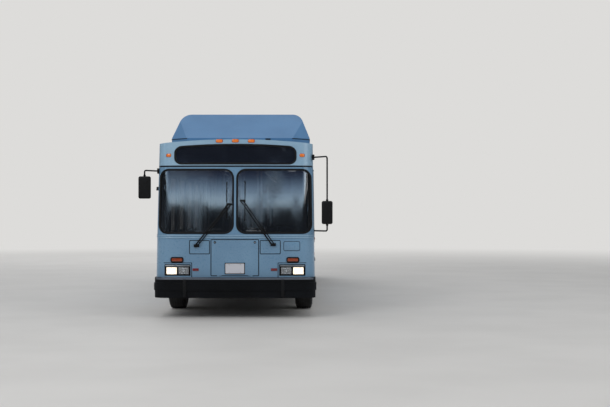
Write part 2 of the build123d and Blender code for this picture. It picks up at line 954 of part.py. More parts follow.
def tail_lamps():
    """On each side two round lamps over a square one, and a long lamp high up."""
    lamps = []
    near, far = rear_face + rest_gap, rear_face + tail_lamp_proud
    r = tail_lamp_radius
    for side in (-1, 1):
        x = side * tail_lamp_x
        for z in (stop_lamp_z, turn_lamp_z):
            lamps.append(along_y(Pos(x, z) * Circle(r), near, far))
        lamps.append(block((x - r, x + r), (near, far), (reverse_lamp_z - r, reverse_lamp_z + r)))
        x = side * high_lamp_x
        half = high_lamp_width / 2
        lamps.append(block((x - half, x + half), (near, far), (high_lamp_low, high_lamp_high)))
    save("tail_lamps", lamps)


def bumpers():
    reach = bumper_side_reach
    back = front_face + bumper_wrap
    body = along_z(
        cap_plan(half_width + rest_gap, front_face - rest_gap, front_seam, front_corner_radius), 0, crown_z,
    )

    def layer(inset, low, high):
        plan = cap_plan(half_width + reach - inset, front_end + inset, back, bumper_radius - inset)
        return along_z(plan, low, high)

    front = layer(bumper_band_proud, bumper_low, bumper_high) + layer(0, bumper_band_low, bumper_band_high)
    front -= body
    for side in (-1, 1):
        x = side * bumper_joint_x
        y = front_end + (bumper_joint_x - flat_half) * tan(bow_angle)
        front -= block(
            (x - bumper_joint_width / 2, x + bumper_joint_width / 2),
            (front_end - 1, y + bumper_band_proud + 8),
            (bumper_low - 1, bumper_high + 1),
        )
    rear_half = half_width + reach
    deep = rear_cap_depth + bumper_reach - 20
    plan = Pos(0, rear_end - deep / 2) * Rectangle(2 * rear_half, deep)
    plan = fillet([v for v in plan.vertices() if v.Y > rear_end - 1], rear_bumper_radius)
    rear = along_z(plan, rear_bumper_low, rear_bumper_high)
    rear_skin = Pos(0, rear_face - 1000 + rest_gap) * Rectangle(2 * (half_width + rest_gap), 2000)
    rear_skin = fillet([v for v in rear_skin.vertices() if v.Y > rear_face], rear_corner_radius + rest_gap)
    save("bumpers", front, rear - along_z(rear_skin, 0, crown_z))


def roof_fairing():
    """The pod over the gas tanks: slanted sides, a long front slope with cut corners, a short rear one."""
    start = front_face + pod_setback
    end = rear_seam - pod_tail_gap
    base = crown_z - crown_rise - 20
    section = polygon(
        (-pod_foot_half, base), (pod_foot_half, base), (pod_foot_half, pod_foot_z),
        (pod_top_half, pod_height),
        (-pod_top_half, pod_height), (-pod_foot_half, pod_foot_z),
    )
    section = fillet([v for v in section.vertices() if v.Y > pod_height - 1], pod_shoulder_radius)
    side = polygon(
        (start, base), (start, pod_lip_z), (start + pod_front_run, pod_height + 1),
        (end - pod_rear_run, pod_height + 1), (end, pod_lip_z), (end, base),
    )
    plan = polygon(
        (-pod_foot_half, start + facet_run), (-facet_front_half, start), (facet_front_half, start),
        (pod_foot_half, start + facet_run), (pod_foot_half, end), (-pod_foot_half, end),
    )
    made = along_y(section, start, end) & along_x(side, -half_width, half_width)
    made &= along_z(plan, base, pod_height)
    front = Vector(facet_front_half, start, pod_lip_z)
    back = Vector(pod_foot_half, start + facet_run, pod_foot_z)
    rise = (facet_top_z - pod_lip_z) / (pod_height - pod_lip_z)
    lean = (facet_top_z - pod_foot_z) / (pod_height - pod_foot_z)
    top_x = pod_foot_half - lean * (pod_foot_half - pod_top_half)
    top = Vector(top_x, start + rise * pod_front_run, facet_top_z)
    facet = Plane(origin=front, x_dir=back - front, z_dir=(back - front).cross(top - front))
    for cut in to_left_and_right(extrude(facet * Rectangle(4 * facet_run, 4 * facet_run), facet_run)):
        made -= cut
    return made - along_y(crown_outline(-rest_gap), start - 1, end + 1)


def floor():
    """Low floor, rear platform with its steps, raised rear deck and the driver's podium."""
    side = half_width - wall_thickness - seam
    front = front_face + 90
    step = rear_axle_y - rear_arch_radius - wheel_box_wall - 60
    low = floor_top - floor_thickness
    deck_start = engine_start - 60
    made = block((-side, side), (front_seam + seam, step), (low, floor_top))
    made += block((-side, side), (front, front_seam + 1), (low, floor_top)) & front_volume(
        mask_thickness + seam, back=front_seam + 2
    )
    first = floor_top + step_riser
    made += block((-side, side), (step - step_depth, step), (floor_top - 1, first))
    wall_of_step = block((-side, side), (step - 50, step), (low, platform_top))
    made += wall_of_step
    made += block((-side, side), (step - 50, deck_start + 50), (platform_top - floor_thickness, platform_top))
    made += block((-side, side), (deck_start, deck_start + 50), (platform_top - 1, rear_deck))
    made += block(
        (-side, side), (deck_start, rear_seam - seam), (rear_deck - floor_thickness, rear_deck)
    )
    podium = block(
        (front_box_reach + 20, side), (front_seam + 80, front_axle_y - front_arch_radius - 60),
        (floor_top - 1, podium_top),
    )
    made += podium
    for axle_y, radius, reach in (
        (front_axle_y, front_arch_radius, front_box_reach),
        (rear_axle_y, rear_arch_radius, rear_box_reach),
    ):
        well = well_outline(axle_y, radius + wheel_box_wall + seam, 0)
        for cut in to_left_and_right(along_x(well, reach - wheel_box_wall - seam, side + 1)):
            made -= cut
    made &= along_y(body_section(wall_thickness + seam, radius=0), front, rear_seam)
    for start, end in ((front_door_start, front_door_end), (rear_door_start, rear_door_end)):
        made += block(
            (-wall_x(floor_top, door_thickness + 10), -side + 40), (start + 12, end - 12), (low, floor_top),
        )
    return made


def wheel_boxes():
    """Faceted boxes over the wheels; the rear are slotted for the axle, the front hold a spring seat."""
    side = half_width - wall_thickness
    inside = along_y(body_section(wall_thickness + seam, radius=0), front_seam, rear_seam)
    boxes = []
    low = floor_top - floor_thickness
    for axle_y, radius, reach in (
        (front_axle_y, front_arch_radius, front_box_reach),
        (rear_axle_y, rear_arch_radius, rear_box_reach),
    ):

        box = along_x(well_outline(axle_y, radius + wheel_box_wall, low), reach - wheel_box_wall, side)
        box -= along_x(well_outline(axle_y, radius, low - 1), reach, side + 1)
        if axle_y == rear_axle_y:
            box -= block(
                (reach - wheel_box_wall - 1, reach + 1),
                (axle_y - axle_slot_half, axle_y + axle_slot_half),
                (low - 1, tyre_radius + axle_slot_half),
            )
        if axle_y == front_axle_y:
            box += block(
                (reach - 1, spring_x + spring_radius - 12),
                (axle_y - spring_radius, axle_y + spring_radius),
                (spring_high + rest_gap, spring_high + 20),
            )
        boxes += to_left_and_right(box & inside)
    save("wheel_boxes", boxes)


def tyre():
    """A tyre about the x axis, centred on its own middle plane."""
    half = tyre_width / 2
    bore = rim_radius + rest_gap
    return turned((-half, bore), (-half, tyre_radius), (half, tyre_radius), (half, bore))


def well_outline(axle_y, radius, low):
    """A wheel box in side view: flat facets that stand clear of the arch's circle."""
    shoulder = radius * 0.62
    top = tyre_radius + radius
    side_z = tyre_radius + radius * 0.45
    return polygon(
        (axle_y - radius, low), (axle_y - radius, side_z), (axle_y - shoulder, top),
        (axle_y + shoulder, top), (axle_y + radius, side_z), (axle_y + radius, low),
    )


def turned(*points):
    """A solid turned about the x axis from (x, radius) points."""
    return revolve(make_face(Plane.XZ * Polyline(*points, close=True)), Axis.X)


def front_rim():
    r = rim_radius
    bead = tyre_bead_width / 2
    return turned(
        (-bead, r), (bead, r), (bead, r - rim_wall), (70, r - rim_wall), (70, 110), (140, 110), (140, 0),
        (80, 0), (80, spindle_radius + rest_gap), (-bead, spindle_radius + rest_gap),
    )


def rear_rim():
    """Both rims of a dual pair with the hub between them, in the outer rim's frame."""
    r = rim_radius
    bead = tyre_bead_width / 2
    inner = -dual_spacing
    return turned(
        (inner - bead, r), (bead, r), (bead, r - rim_wall), (-60, r - rim_wall), (-60, 125),
        (70, 125), (70, 0),
        (inner - bead, 0),
    )


def wheels():
    for side, tag in ((1, "l"), (-1, "r")):
        place = Pos(side * wheel_x, front_axle_y, tyre_radius)
        face_out = Rot(0, 0, 0 if side > 0 else 180)
        save(f"tyre_f{tag}", place * tyre())
        save(f"rim_f{tag}", place * face_out * front_rim())
        rear = Pos(side * wheel_x, rear_axle_y, tyre_radius)
        inner = Pos(side * (wheel_x - dual_spacing), rear_axle_y, tyre_radius)
        save(f"tyres_r{tag}", rear * tyre(), inner * tyre())
        save(f"rims_r{tag}", rear * face_out * rear_rim())


def knuckle():
    """The left steering knuckle: fork, kingpin, spindle and arm, about its own kingpin."""
    low = tyre_radius - eye_half_height - ear_gap
    high = tyre_radius + eye_half_height + ear_gap
    fork_x = eye_radius + 6
    fork_out = wheel_x + hub_face - kingpin_x - 10
    ear = (-ear_radius, ear_radius)
    made = block((-ear_radius, fork_out), ear, (high, high + ear_thickness))
    made += block((-ear_radius, fork_out), ear, (low - ear_thickness, low))
    made += block((fork_x, fork_out), (-55, 55), (low - ear_thickness, high + ear_thickness))
    made += Pos(0, 0, low - 1) * extrude(Circle(king_bore - pin_clearance), high - low + 2)
    made += Pos(fork_out - 1, 0, tyre_radius) * Rot(0, 90, 0) * extrude(
        Circle(spindle_radius), wheel_x + 80 - rest_gap - kingpin_x - fork_out + 1
    )
    arm_end = steer_arm_length
    eye_top = tie_rod_z + tie_rod_radius + 4
    arm = polygon(
        (0, low - ear_thickness), (0, low - 5), (60, low - 5), (arm_end + 20, eye_top + 30),
        (arm_end + 20, eye_top), (arm_end - 25, eye_top), (40, low - ear_thickness),
    )
    made += along_x(arm, -steer_arm_width / 2, steer_arm_width / 2)
    pin = Pos(0, arm_end, tie_rod_z - tie_rod_radius - 3) * extrude(
        Circle(tie_pin_radius), 2 * tie_rod_radius + 8,
    )
    return made + pin


def steering():
    left = Pos(kingpin_x, front_axle_y, 0) * knuckle()
    save("knuckle_left", left)
    save("knuckle_right", mirror(left, Plane.YZ))
    y = front_axle_y + steer_arm_length
    eye = tie_eye_radius
    rod = Pos(-kingpin_x, y, tie_rod_z) * Rot(0, 90, 0) * extrude(Circle(tie_rod_radius), 2 * kingpin_x)
    for side in (-1, 1):
        x = side * kingpin_x
        rod += block(
            (x - eye, x + eye), (y - eye, y + eye),
            (tie_rod_z - tie_rod_radius - 2, tie_rod_z + tie_rod_radius + 2),
        )
    for side in (-1, 1):
        rod -= Pos(side * kingpin_x, y, tie_rod_z - 100) * extrude(
            Circle(tie_pin_radius + pin_clearance), 200,
        )
    save("tie_rod", rod)


def axles():
    """The dropped front beam with its kingpin eyes, and the rear axle housing."""
    low, high = tyre_radius - eye_half_height + 5, tyre_radius + eye_half_height - 5
    half = [
        (0, beam_low), (600, beam_low), (kingpin_x - 100, low), (kingpin_x, low),
        (kingpin_x, high), (kingpin_x - 150, high), (575, beam_high), (0, beam_high),
    ]
    beam = along_y(polygon(*half), front_axle_y - beam_half_width + 5, front_axle_y + beam_half_width - 5)
    beam += block(
        (spring_x - 75, spring_x + 75), (front_axle_y - 75, front_axle_y + 75), (
            beam_high + 40, spring_low - rest_gap,
        )
    )
    eye = Pos(kingpin_x, front_axle_y, tyre_radius - eye_half_height)
    beam += eye * extrude(Circle(eye_radius), 2 * eye_half_height)
    beam -= eye * extrude(Circle(king_bore), 2 * eye_half_height)
    front = beam + mirror(beam, Plane.YZ)
    hub_back = wheel_x - dual_spacing - tyre_bead_width / 2 - rest_gap
    centre = Pos(0, rear_axle_y, tyre_radius)
    housing = [
        (-hub_back, axle_tube_radius), (
            -diff_half_length, axle_tube_radius,
        ), (-diff_half_length, diff_radius),
        (diff_half_length, diff_radius), (diff_half_length, axle_tube_radius), (hub_back, axle_tube_radius),
        (hub_back, 0), (-hub_back, 0),
    ]
    rear = centre * turned(*housing)
    start = rear_axle_y + diff_radius + 30
    end = engine_start - gearbox_length - rest_gap
    z = (tyre_radius - nose_half, tyre_radius + nose_half)
    rear += block((-nose_half, nose_half), (rear_axle_y, start), z)
    rear += Pos(0, end, tyre_radius) * Rot(90, 0, 0) * extrude(Circle(shaft_radius), end - start)
    for side in (-1, 1):
        x = side * (rail_inner + rail_outer) / 2
        rear += block(
            (x - 40, x + 40),
            (rear_axle_y - rear_spring_setback - 60, rear_axle_y + rear_spring_setback + 60),
            (tyre_radius - 60, tyre_radius - 10),
        )
    save("axles", front, rear)
    springs = []
    for side in (-1, 1):
        springs.append(
            Pos(side * spring_x, front_axle_y, spring_low) * extrude(
                Circle(spring_radius), spring_high - spring_low,
            )
        )
        for back in (-1, 1):
            place = Pos(
                side * (rail_inner + rail_outer) / 2,
                rear_axle_y + back * rear_spring_setback,
                tyre_radius - 10 + rest_gap,
            )
            springs.append(place * extrude(Circle(spring_radius), rail_low - tyre_radius + 10 - 2 * rest_gap))
    save("air_springs", springs)


def underframe():
    """Rails under the low floor, the raised rear rails and the engine cradle."""
    low_top = floor_top - floor_thickness - rest_gap
    step = rear_axle_y - rear_arch_radius - wheel_box_wall - 60
    pieces = []
    for side in (-1, 1):
        x = sorted((side * rail_inner, side * rail_outer))
        front = block(x, (front_axle_y + 700, step - 60), (low_top - 70, low_top))
        pieces.append(front)
        rear = block(x, (step, rear_seam - 20), (rail_low, platform_top - floor_thickness - rest_gap))
        for y in (engine_start + 250, engine_end - 250):
            rear += block(x, (y - 40, y + 40), (engine_low - 60, rail_low + 1))
        pieces.append(rear)
    for y in (front_axle_y + 1500, 0, step - 900):
        pieces.append(block((-rail_inner, rail_inner), (y - 40, y + 40), (low_top - 60, low_top)))
    for y in (engine_start + 250, engine_end - 250):
        pieces.append(
            block((-rail_inner, rail_inner), (y - 40, y + 40), (engine_low - 60, engine_low - rest_gap))
        )
    joined = pieces[0]
    for piece in pieces[1:]:
        joined += piece
    save("underframe", joined)


def engine():
    made = block((-engine_half, engine_half), (engine_start, engine_end), (engine_low, engine_high))
    made += Pos(0, engine_start + 1, tyre_radius) * Rot(90, 0, 0) * extrude(
        Circle(gearbox_radius), gearbox_length + 1,
    )
    save("engine", made)


def rod(start, end, radius):
    """A round bar between two points."""
    a, b = Vector(*start), Vector(*end)
    return extrude(Plane(origin=start, z_dir=(b - a).normalized()) * Circle(radius), (b - a).length)


def flat_bar(start, end, width, depth):
    """A flat bar between two points, its width across x where it can be."""
    a, b = Vector(*start), Vector(*end)
    plane = Plane(origin=start, x_dir=(b - a).cross(Vector(0, 1, 0)).normalized(), z_dir=(b - a).normalized())
    return extrude(plane * Rectangle(width, depth), (b - a).length)


def raked_y(z):
    """Place of the front skin on the centreline at a height."""
    return front_face + windscreen_rake * max(0, z - waist_z) / rake_height


def mirrors():
    """The kerb-side head under its loop, and the street-side head on its pole."""
    y = front_face + mirror_setback
    foot_y = front_face + mirror_foot_setback
    foot_x = half_width - mirror_foot_inset
    centre = mirror_reach - mirror_width / 2
    back = y + mirror_depth / 2 + rest_gap
    skin = front_volume(-rest_gap)
    pieces, faces = [], []
    heads = [
        # side, middle, height, heights of its arms
        (-1, kerb_mirror_z, kerb_mirror_height, [kerb_arm_z]),
        (1, street_mirror_z, street_mirror_height, [street_low_arm_z, street_high_arm_z]),
    ]
    for side, z, height, arms in heads:
        x = side * centre
        outline = rounded(mirror_width, height, mirror_radius, x, z)
        made = along_y(outline, y - mirror_depth / 2, y + mirror_depth / 2)
        glass = Pos(x, z) * Rectangle(mirror_width - 2 * mirror_rim, height - 2 * mirror_rim)
        faces.append(along_y(glass, back, back + mirror_face_thickness))
        for arm_z in arms:
            edge = z + (height / 2 - mirror_radius) * (1 if arm_z > z else -1)
            made += rod((x, y, edge), (x, y, arm_z), mirror_tube_radius)
            made += rod((x, y, arm_z), (side * foot_x, foot_y, arm_z), mirror_tube_radius)
        made -= skin
        pieces.append(max(made.solids(), key=lambda s: s.volume))
    save("mirrors", pieces)
    save("mirror_glass", faces)


def wipers():
    """Two pairs of linked arms, each holding an upright blade against its pane."""
    pieces = []
    skin = front_volume(-rest_gap)
    py = front_surface_y(wiper_pivot_x) - wiper_stand_off
    foot = wiper_arm_gap + 2
    sets = [
        # side, pivot z, head x, head z, blade from, blade to
        (-1, 1163, 84, 1837, 1600, 2190),
        (1, 1180, 110, 1894, 1560, 2210),
    ]
    for side, pivot_z, head_x, head_z, blade_low, blade_high in sets:
        pivot_x = side * wiper_pivot_x
        made = block(
            (pivot_x - foot, pivot_x + foot), (py - 10, front_surface_y(wiper_pivot_x) - rest_gap),
            (pivot_z - foot / 2, pivot_z + foot / 2),
        )
        head_y = raked_y(head_z) - wiper_stand_off
        for shift in (-wiper_arm_gap / 2, wiper_arm_gap / 2):
            start = (pivot_x + shift, py, pivot_z)
            made += flat_bar(
                start, (side * head_x + shift, head_y - 6, head_z), wiper_arm_width, wiper_arm_depth,
            )
        blade_x = side * (head_x + wiper_blade_shift)
        link = sorted((side * (head_x - foot + 6), blade_x + side * 6))
        made += block(link, (head_y - 14, head_y + 4), (head_z - foot / 3, head_z + foot / 3))
        low = (blade_x, raked_y(blade_low) - wiper_stand_off / 2, blade_low)
        high = (blade_x, raked_y(blade_high) - wiper_stand_off / 2, blade_high)
        made += flat_bar(low, high, wiper_blade_width, wiper_blade_depth)
        pieces.append(made - skin)
    save("wipers", pieces)


def dashboard():
    """The dash with its binnacle, the steering wheel on its column, and the farebox."""
    front = front_face + dash_setback
    back = front_seam - dash_back_gap
    side = half_width - dash_side_gap
    shelf = block((-side, side), (front, front + dash_shelf_depth), (floor_top + rest_gap, dash_high - 110))
    shelf += block((200, side), (front + 60, back), (840, dash_high - 60))
    outline = polygon(
        (front + 80, 900), (back + 40, 940), (back - 20, dash_high + 40), (front + 160, dash_high + 60),
        (front + 80, dash_high - 60),
    )
    shelf += along_x(outline, driver_x - binnacle_half, driver_x + binnacle_half)
    r = steering_wheel_radius
    ring = Circle(r) - Circle(r - steering_rim_width)
    spokes = Rectangle(2 * r - steering_rim_width, 60)
    wheel_place = Pos(driver_x, back + 210, dash_high + 120) * Rot(-steering_wheel_tilt, 0, 0)
    wheel = wheel_place * (extrude(ring, steering_rim_thickness) + extrude(spokes, 16))
    column_foot, column_head = (driver_x, back - 60, 900), (driver_x, back + 214, dash_high + 128)
    made = shelf + flat_bar(column_foot, column_head, column_width, column_width) + wheel
    farebox_start = front_seam - 80
    farebox = block(
        farebox_x, (farebox_start, farebox_start + farebox_length), (floor_top + rest_gap, farebox_top),
    )
    save("dashboard", made, farebox)


def seat(width, height=seat_height):
    """A seat facing -y, its front edge at y = 0, standing on z = 0, on a leg if it is tall."""
    tall = height > seat_height / 2
    back = height + seat_back_height - seat_height
    low = height - seat_cushion if tall else rest_gap
    tip = seat_depth + seat_back_lean
    outline = polygon(
        (0, low), (seat_depth, low), (tip, back), (tip - seat_back_thickness, back),
        (seat_depth - 30, height), (30, height + 10), (0, height - 10),
    )
    made = along_x(outline, -width / 2, width / 2)
    if tall:
        leg = width / 2 - seat_depth / 4
        made += block((-leg, leg), (0.4 * seat_depth, 0.7 * seat_depth), (rest_gap, low + 1))
    return made


def seats():
    """Pairs in rows along both walls, benches on the rear wheel boxes and across the rear deck."""
    made = []
    inside = half_width - wall_thickness - seat_wall_gap
    side_x = inside - seat_pair_width / 2
    rows = [
        # side, first y, count, height of what it stands on
        (1, front_axle_y + seat_front_gap, 6, floor_top),
        (-1, front_axle_y + seat_front_gap, 5, floor_top),
        (1, rear_axle_y + platform_seat_setback, 1, platform_top),
        (-1, rear_axle_y + platform_seat_setback, 1, platform_top),
    ]
    for side, first, count, base in rows:
        for i in range(count):
            made.append(Pos(side * side_x, first + i * seat_pitch, base) * seat(seat_pair_width))
    box_top = tyre_radius + rear_arch_radius + wheel_box_wall
    bench_x = inside - seat_depth - seat_back_lean - 5
    for side in (-1, 1):
        turn = Rot(0, 0, -side * 90)
        made.append(Pos(side * bench_x, rear_axle_y, box_top) * turn * seat(bench_width, bench_height))
    rear_width = 2 * inside - seat_cushion
    made.append(Pos(0, engine_start + 300, rear_deck) * seat(rear_width, bench_height))
    driver = Pos(driver_x, front_seam + 300, podium_top) * seat(driver_seat_width, driver_seat_height)
    made.append(driver)
    save("seats", made)


def grab_rails():
    """Stanchions from floor to ceiling, and the screen behind the driver."""
    pieces = []
    ceiling = crown_z - roof_thickness - 10
    places = [
        front_axle_y - stanchion_before_axle, front_axle_y + stanchion_after_axle,
        rear_door_start - stanchion_before_door,
    ]
    for x in (-stanchion_x, stanchion_x):
        for y in places:
            pieces.append(rod((x, y, floor_top + rest_gap), (x, y, ceiling), stanchion_radius))
    screen_y = front_axle_y - front_arch_radius - 90
    across = (front_box_reach + 40, half_width - wall_thickness - 60)
    pieces.append(block(across, (screen_y, screen_y + screen_thickness), (podium_top + rest_gap, screen_top)))
    save("grab_rails", pieces)


def lid_on_roof():
    """The escape hatch behind the pod, joined to the roof."""
    outline = rounded(lid_size, lid_size, lid_corner, 0, rear_seam - lid_setback)
    return along_z(outline, crown_z - roof_thickness / 3, crown_z + lid_proud)


outer_skin, inner_skin = front_shell()
hatch_panel, hatch_lugs = front_hatch()
lug_sets = doors()

mask = front_mask(outer_skin, inner_skin)
for lug in hatch_lugs + lug_sets["front_mask"]:
    mask += lug
header, sign_pane = front_header(outer_skin, inner_skin)
save("front_mask", mask)
save("front_header", header)
save("front_glass", windscreen(outer_skin, inner_skin), sign_pane)
save("front_hatch", hatch_panel)
walls(lug_sets)
side_windows()
save("roof", roof() + lid_on_roof())
roof_pod = roof_fairing()
save("roof_fairing", roof_pod)
save("rear_wall", rear_wall())
save("engine_door", engine_door())
grilles()
headlamps()
marker_lamps()
tail_lamps()
bumpers()
save("floor", floor())
wheel_boxes()
wheels()
steering()
axles()
underframe()
engine()
mirrors()
wipers()
dashboard()
seats()
grab_rails()
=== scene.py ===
import bpy
import bmesh
import json
from math import atan, atan2, cos, hypot, pi, radians, sin, sqrt
from mathutils import Matrix, Vector

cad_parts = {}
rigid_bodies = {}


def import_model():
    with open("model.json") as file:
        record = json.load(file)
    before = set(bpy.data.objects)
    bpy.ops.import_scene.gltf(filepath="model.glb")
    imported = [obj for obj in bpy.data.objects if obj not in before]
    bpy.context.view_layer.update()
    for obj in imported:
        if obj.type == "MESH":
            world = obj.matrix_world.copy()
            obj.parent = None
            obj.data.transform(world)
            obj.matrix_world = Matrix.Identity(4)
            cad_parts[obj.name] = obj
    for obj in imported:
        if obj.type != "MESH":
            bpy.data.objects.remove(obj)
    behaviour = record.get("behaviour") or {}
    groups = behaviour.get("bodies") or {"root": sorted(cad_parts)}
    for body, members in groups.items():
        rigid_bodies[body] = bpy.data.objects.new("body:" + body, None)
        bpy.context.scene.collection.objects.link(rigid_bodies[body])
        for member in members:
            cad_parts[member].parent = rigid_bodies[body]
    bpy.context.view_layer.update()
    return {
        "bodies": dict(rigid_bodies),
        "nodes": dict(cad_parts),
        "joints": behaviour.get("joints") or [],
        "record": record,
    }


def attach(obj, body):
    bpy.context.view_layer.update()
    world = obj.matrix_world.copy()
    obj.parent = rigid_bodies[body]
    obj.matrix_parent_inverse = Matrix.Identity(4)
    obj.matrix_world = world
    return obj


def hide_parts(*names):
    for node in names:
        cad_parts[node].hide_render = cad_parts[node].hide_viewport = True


# Low-floor city bus. Metres, z up, the front faces -y, and the driver sits on the +x side.

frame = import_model()
nodes = frame["nodes"]
print("frame loaded:", len(nodes), "nodes")

body = {
    "frontFace": -6.105, "halfWidth": 1.295, "flatHalf": 0.43, "bow": 0.055 / 0.865, "cornerRadius": 0.22,
    "cornerLines": (1.089, 1.13, 1.17, 1.21, 1.24, 1.26),  # cuts where the front turns its corner
    "rakeStart": 1.25, "rake": 0.130 / 1.635, "lean": 0.040 / 2.555, "skirt": 0.33,
    "frontAxle": -4.115, "rearAxle": 3.325, "axleHeight": 0.53, "capFront": -5.68, "capRear": 5.90,
}


def wallX(z, skin=body):  # half the body's width at a height
    return skin["halfWidth"] - skin["lean"] * (z - skin["skirt"])


def noseY(x, z, skin=body):  # the front skin's place at a point seen from the front
    across, radius, slope = abs(x), skin["cornerRadius"], skin["bow"]
    side = wallX(z, skin) - radius
    y = max(0.0, across - skin["flatHalf"]) * slope
    if across > side + radius * sin(atan(slope)):
        middle = slope * (side - skin["flatHalf"]) + radius * sqrt(1 + slope * slope)
        y = middle - sqrt(max(0.0, radius * radius - (across - side) ** 2))
    return skin["frontFace"] + y + max(0.0, z - skin["rakeStart"]) * skin["rake"]


def around(middle, half):  # from and to, a half width either side of a middle
    return middle - half, middle + half


def grown(span, by):
    return span[0] - by, span[1] + by


def clearPick():
    if bpy.context.object and bpy.context.object.mode != "OBJECT":
        bpy.ops.object.mode_set(mode="OBJECT")
    bpy.ops.object.select_all(action="DESELECT")


def makeActive(piece):
    clearPick()
    piece.select_set(True)
    bpy.context.view_layer.objects.active = piece


def named(name):  # the newest primitive gets its name, and its place goes into its mesh
    piece = bpy.context.object
    piece.name = piece.data.name = name
    bpy.ops.object.transform_apply(location=True, rotation=True, scale=True)
    return piece


def selectAll(kind="FACE"):
    bpy.ops.mesh.select_mode(type=kind)
    bpy.ops.mesh.select_all(action="SELECT")


def editing(piece):
    makeActive(piece)
    bpy.ops.object.mode_set(mode="EDIT")
    selectAll()


def done():
    bpy.ops.object.mode_set(mode="OBJECT")


def inset(width, by=(0, 0, 0)):  # in edit mode, inset what is selected and move the inner faces
    bpy.ops.mesh.inset(thickness=width)
    bpy.ops.transform.translate(value=by)


def pick(test, kind="FACE"):  # in edit mode, select what passes a test on its middle and its direction
    bpy.ops.mesh.select_mode(type=kind)
    bpy.ops.mesh.select_all(action="DESELECT")
    mesh = bmesh.from_edit_mesh(bpy.context.object.data)
    for part in {"FACE": mesh.faces, "EDGE": mesh.edges, "VERT": mesh.verts}[kind]:
        if kind == "VERT":
            part.select_set(bool(test(part.co, part.normal)))
        elif kind == "EDGE":
            a, b = part.verts[0].co, part.verts[1].co
            part.select_set(bool(test((a + b) / 2, (b - a).normalized())))
        else:
            part.select_set(bool(test(part.calc_center_median(), part.normal)))
    bmesh.update_edit_mesh(bpy.context.object.data)


def applied(piece, kind, **settings):
    makeActive(piece)
    added = piece.modifiers.new(kind.title(), kind)
    for key, value in settings.items():
        setattr(added, key, value)
    bpy.ops.object.modifier_apply(modifier=added.name)
    return piece


def smooth(piece, angle=35):
    makeActive(piece)
    bpy.ops.object.shade_smooth_by_angle(angle=radians(angle))
    return piece


def softened(piece, width, segments=2, angle=40):  # small round edges, shaded smooth
    applied(piece, "BEVEL", width=width, segments=segments, limit_method="ANGLE", angle_limit=radians(angle))
    return smooth(piece)


def slab(name, low, high, edge=0.004, segments=2):
    clearPick()
    bpy.ops.mesh.primitive_cube_add(size=1, location=[(a + b) / 2 for a, b in zip(low, high)])
    bpy.context.object.scale = [b - a for a, b in zip(low, high)]
    piece = named(name)
    return softened(piece, edge, segments) if edge else piece


def block(name, middle, half, edge=0.004, segments=2):  # a slab by its middle and half sizes
    ends = [around(m, h) for m, h in zip(middle, half)]
    return slab(name, [low for low, high in ends], [high for low, high in ends], edge, segments)


def drum(name, middle, radius, depth, axis="x", edge=0.004, sides=32):
    clearPick()
    turn = {"x": (0, pi / 2, 0), "y": (pi / 2, 0, 0), "z": (0, 0, 0)}[axis]
    bpy.ops.mesh.primitive_cylinder_add(
        vertices=sides, radius=radius, depth=depth, location=middle, rotation=turn)
    piece = named(name)
    return softened(piece, edge) if edge else smooth(piece)


def plate(name, x, z, radius=0.0, tops=(0.0, 0.0)):  # a flat rounded outline at y = 0 that faces the front
    clearPick()
    middleX, middleZ = (x[0] + x[1]) / 2, (z[0] + z[1]) / 2
    bpy.ops.mesh.primitive_plane_add(size=1, rotation=(pi / 2, 0, 0), location=(middleX, 0, middleZ))
    bpy.context.object.scale = (x[1] - x[0], z[1] - z[0], 1)
    piece = named(name)
    editing(piece)
    for side, shift in zip((-1, 1), tops):
        if shift:
            pick(lambda at, normal: (at.x - middleX) * side > 0 and at.z > middleZ, "VERT")
            bpy.ops.transform.translate(value=(shift, 0, 0))
    selectAll("VERT")
    if radius:
        bpy.ops.mesh.bevel(
            offset=radius, offset_type="OFFSET", segments=6, affect="VERTICES", clamp_overlap=True)
    done()
    return piece


def hollowed(piece, width):  # a flat outline becomes a ring of one width
    editing(piece)
    bpy.ops.mesh.inset(thickness=width, use_even_offset=True)
    bpy.ops.mesh.delete(type="FACE")
    done()
    return piece


def inStrips(piece, step=0.08):  # cut upright lines into a flat piece, so that it follows the bowed front
    low = min(v.co.x for v in piece.data.vertices)
    high = max(v.co.x for v in piece.data.vertices)
    count = max(1, round((high - low) / step))
    lines = [low + (high - low) * i / count for i in range(1, count)]
    lines += [side * edge for side in (-1, 1) for edge in (body["flatHalf"], *body["cornerLines"])]
    cuts = [((x, 0, 0), (1, 0, 0)) for x in lines if low + 0.002 < x < high - 0.002]
    editing(piece)
    for place, normal in cuts + [((0, 0, body["rakeStart"]), (0, 0, 1))]:
        bpy.ops.mesh.select_all(action="SELECT")
        bpy.ops.mesh.bisect(plane_co=place, plane_no=normal)
    done()
    return piece


def onNose(piece, proud=0.0, skin=body):  # lay a flat piece on the front skin, as far out of it as asked
    for vertex in piece.data.vertices:
        vertex.co.y += noseY(vertex.co.x, vertex.co.z, skin) - proud
    return piece


def onWall(piece, side, proud=0.0):  # turn a piece drawn facing the front onto a side wall: its x becomes y
    for vertex in piece.data.vertices:
        x, y, z = vertex.co
        vertex.co = (side * (wallX(z) + proud - y), side * x, z)
    return piece


def thick(piece, depth, edge=0.0):  # give a sheet its thickness behind it
    applied(piece, "SOLIDIFY", thickness=depth, offset=-1, use_even_offset=True)
    return softened(piece, edge) if edge else smooth(piece)


def moved(piece, by=(0, 0, 0), turn=0.0, axis="Z", about=(0, 0, 0)):
    about = Vector(about)
    back, turned = Matrix.Translation(-about), Matrix.Rotation(turn, 4, axis)
    piece.data.transform(Matrix.Translation(Vector(by) + about) @ turned @ back)
    return piece


def copied(piece, name=None, by=(0, 0, 0), turn=0.0, axis="Z", about=(0, 0, 0)):
    twin = piece.copy()
    twin.data = piece.data.copy()
    bpy.context.scene.collection.objects.link(twin)
    twin.name = name or piece.name
    return moved(twin, by, turn, axis, about)


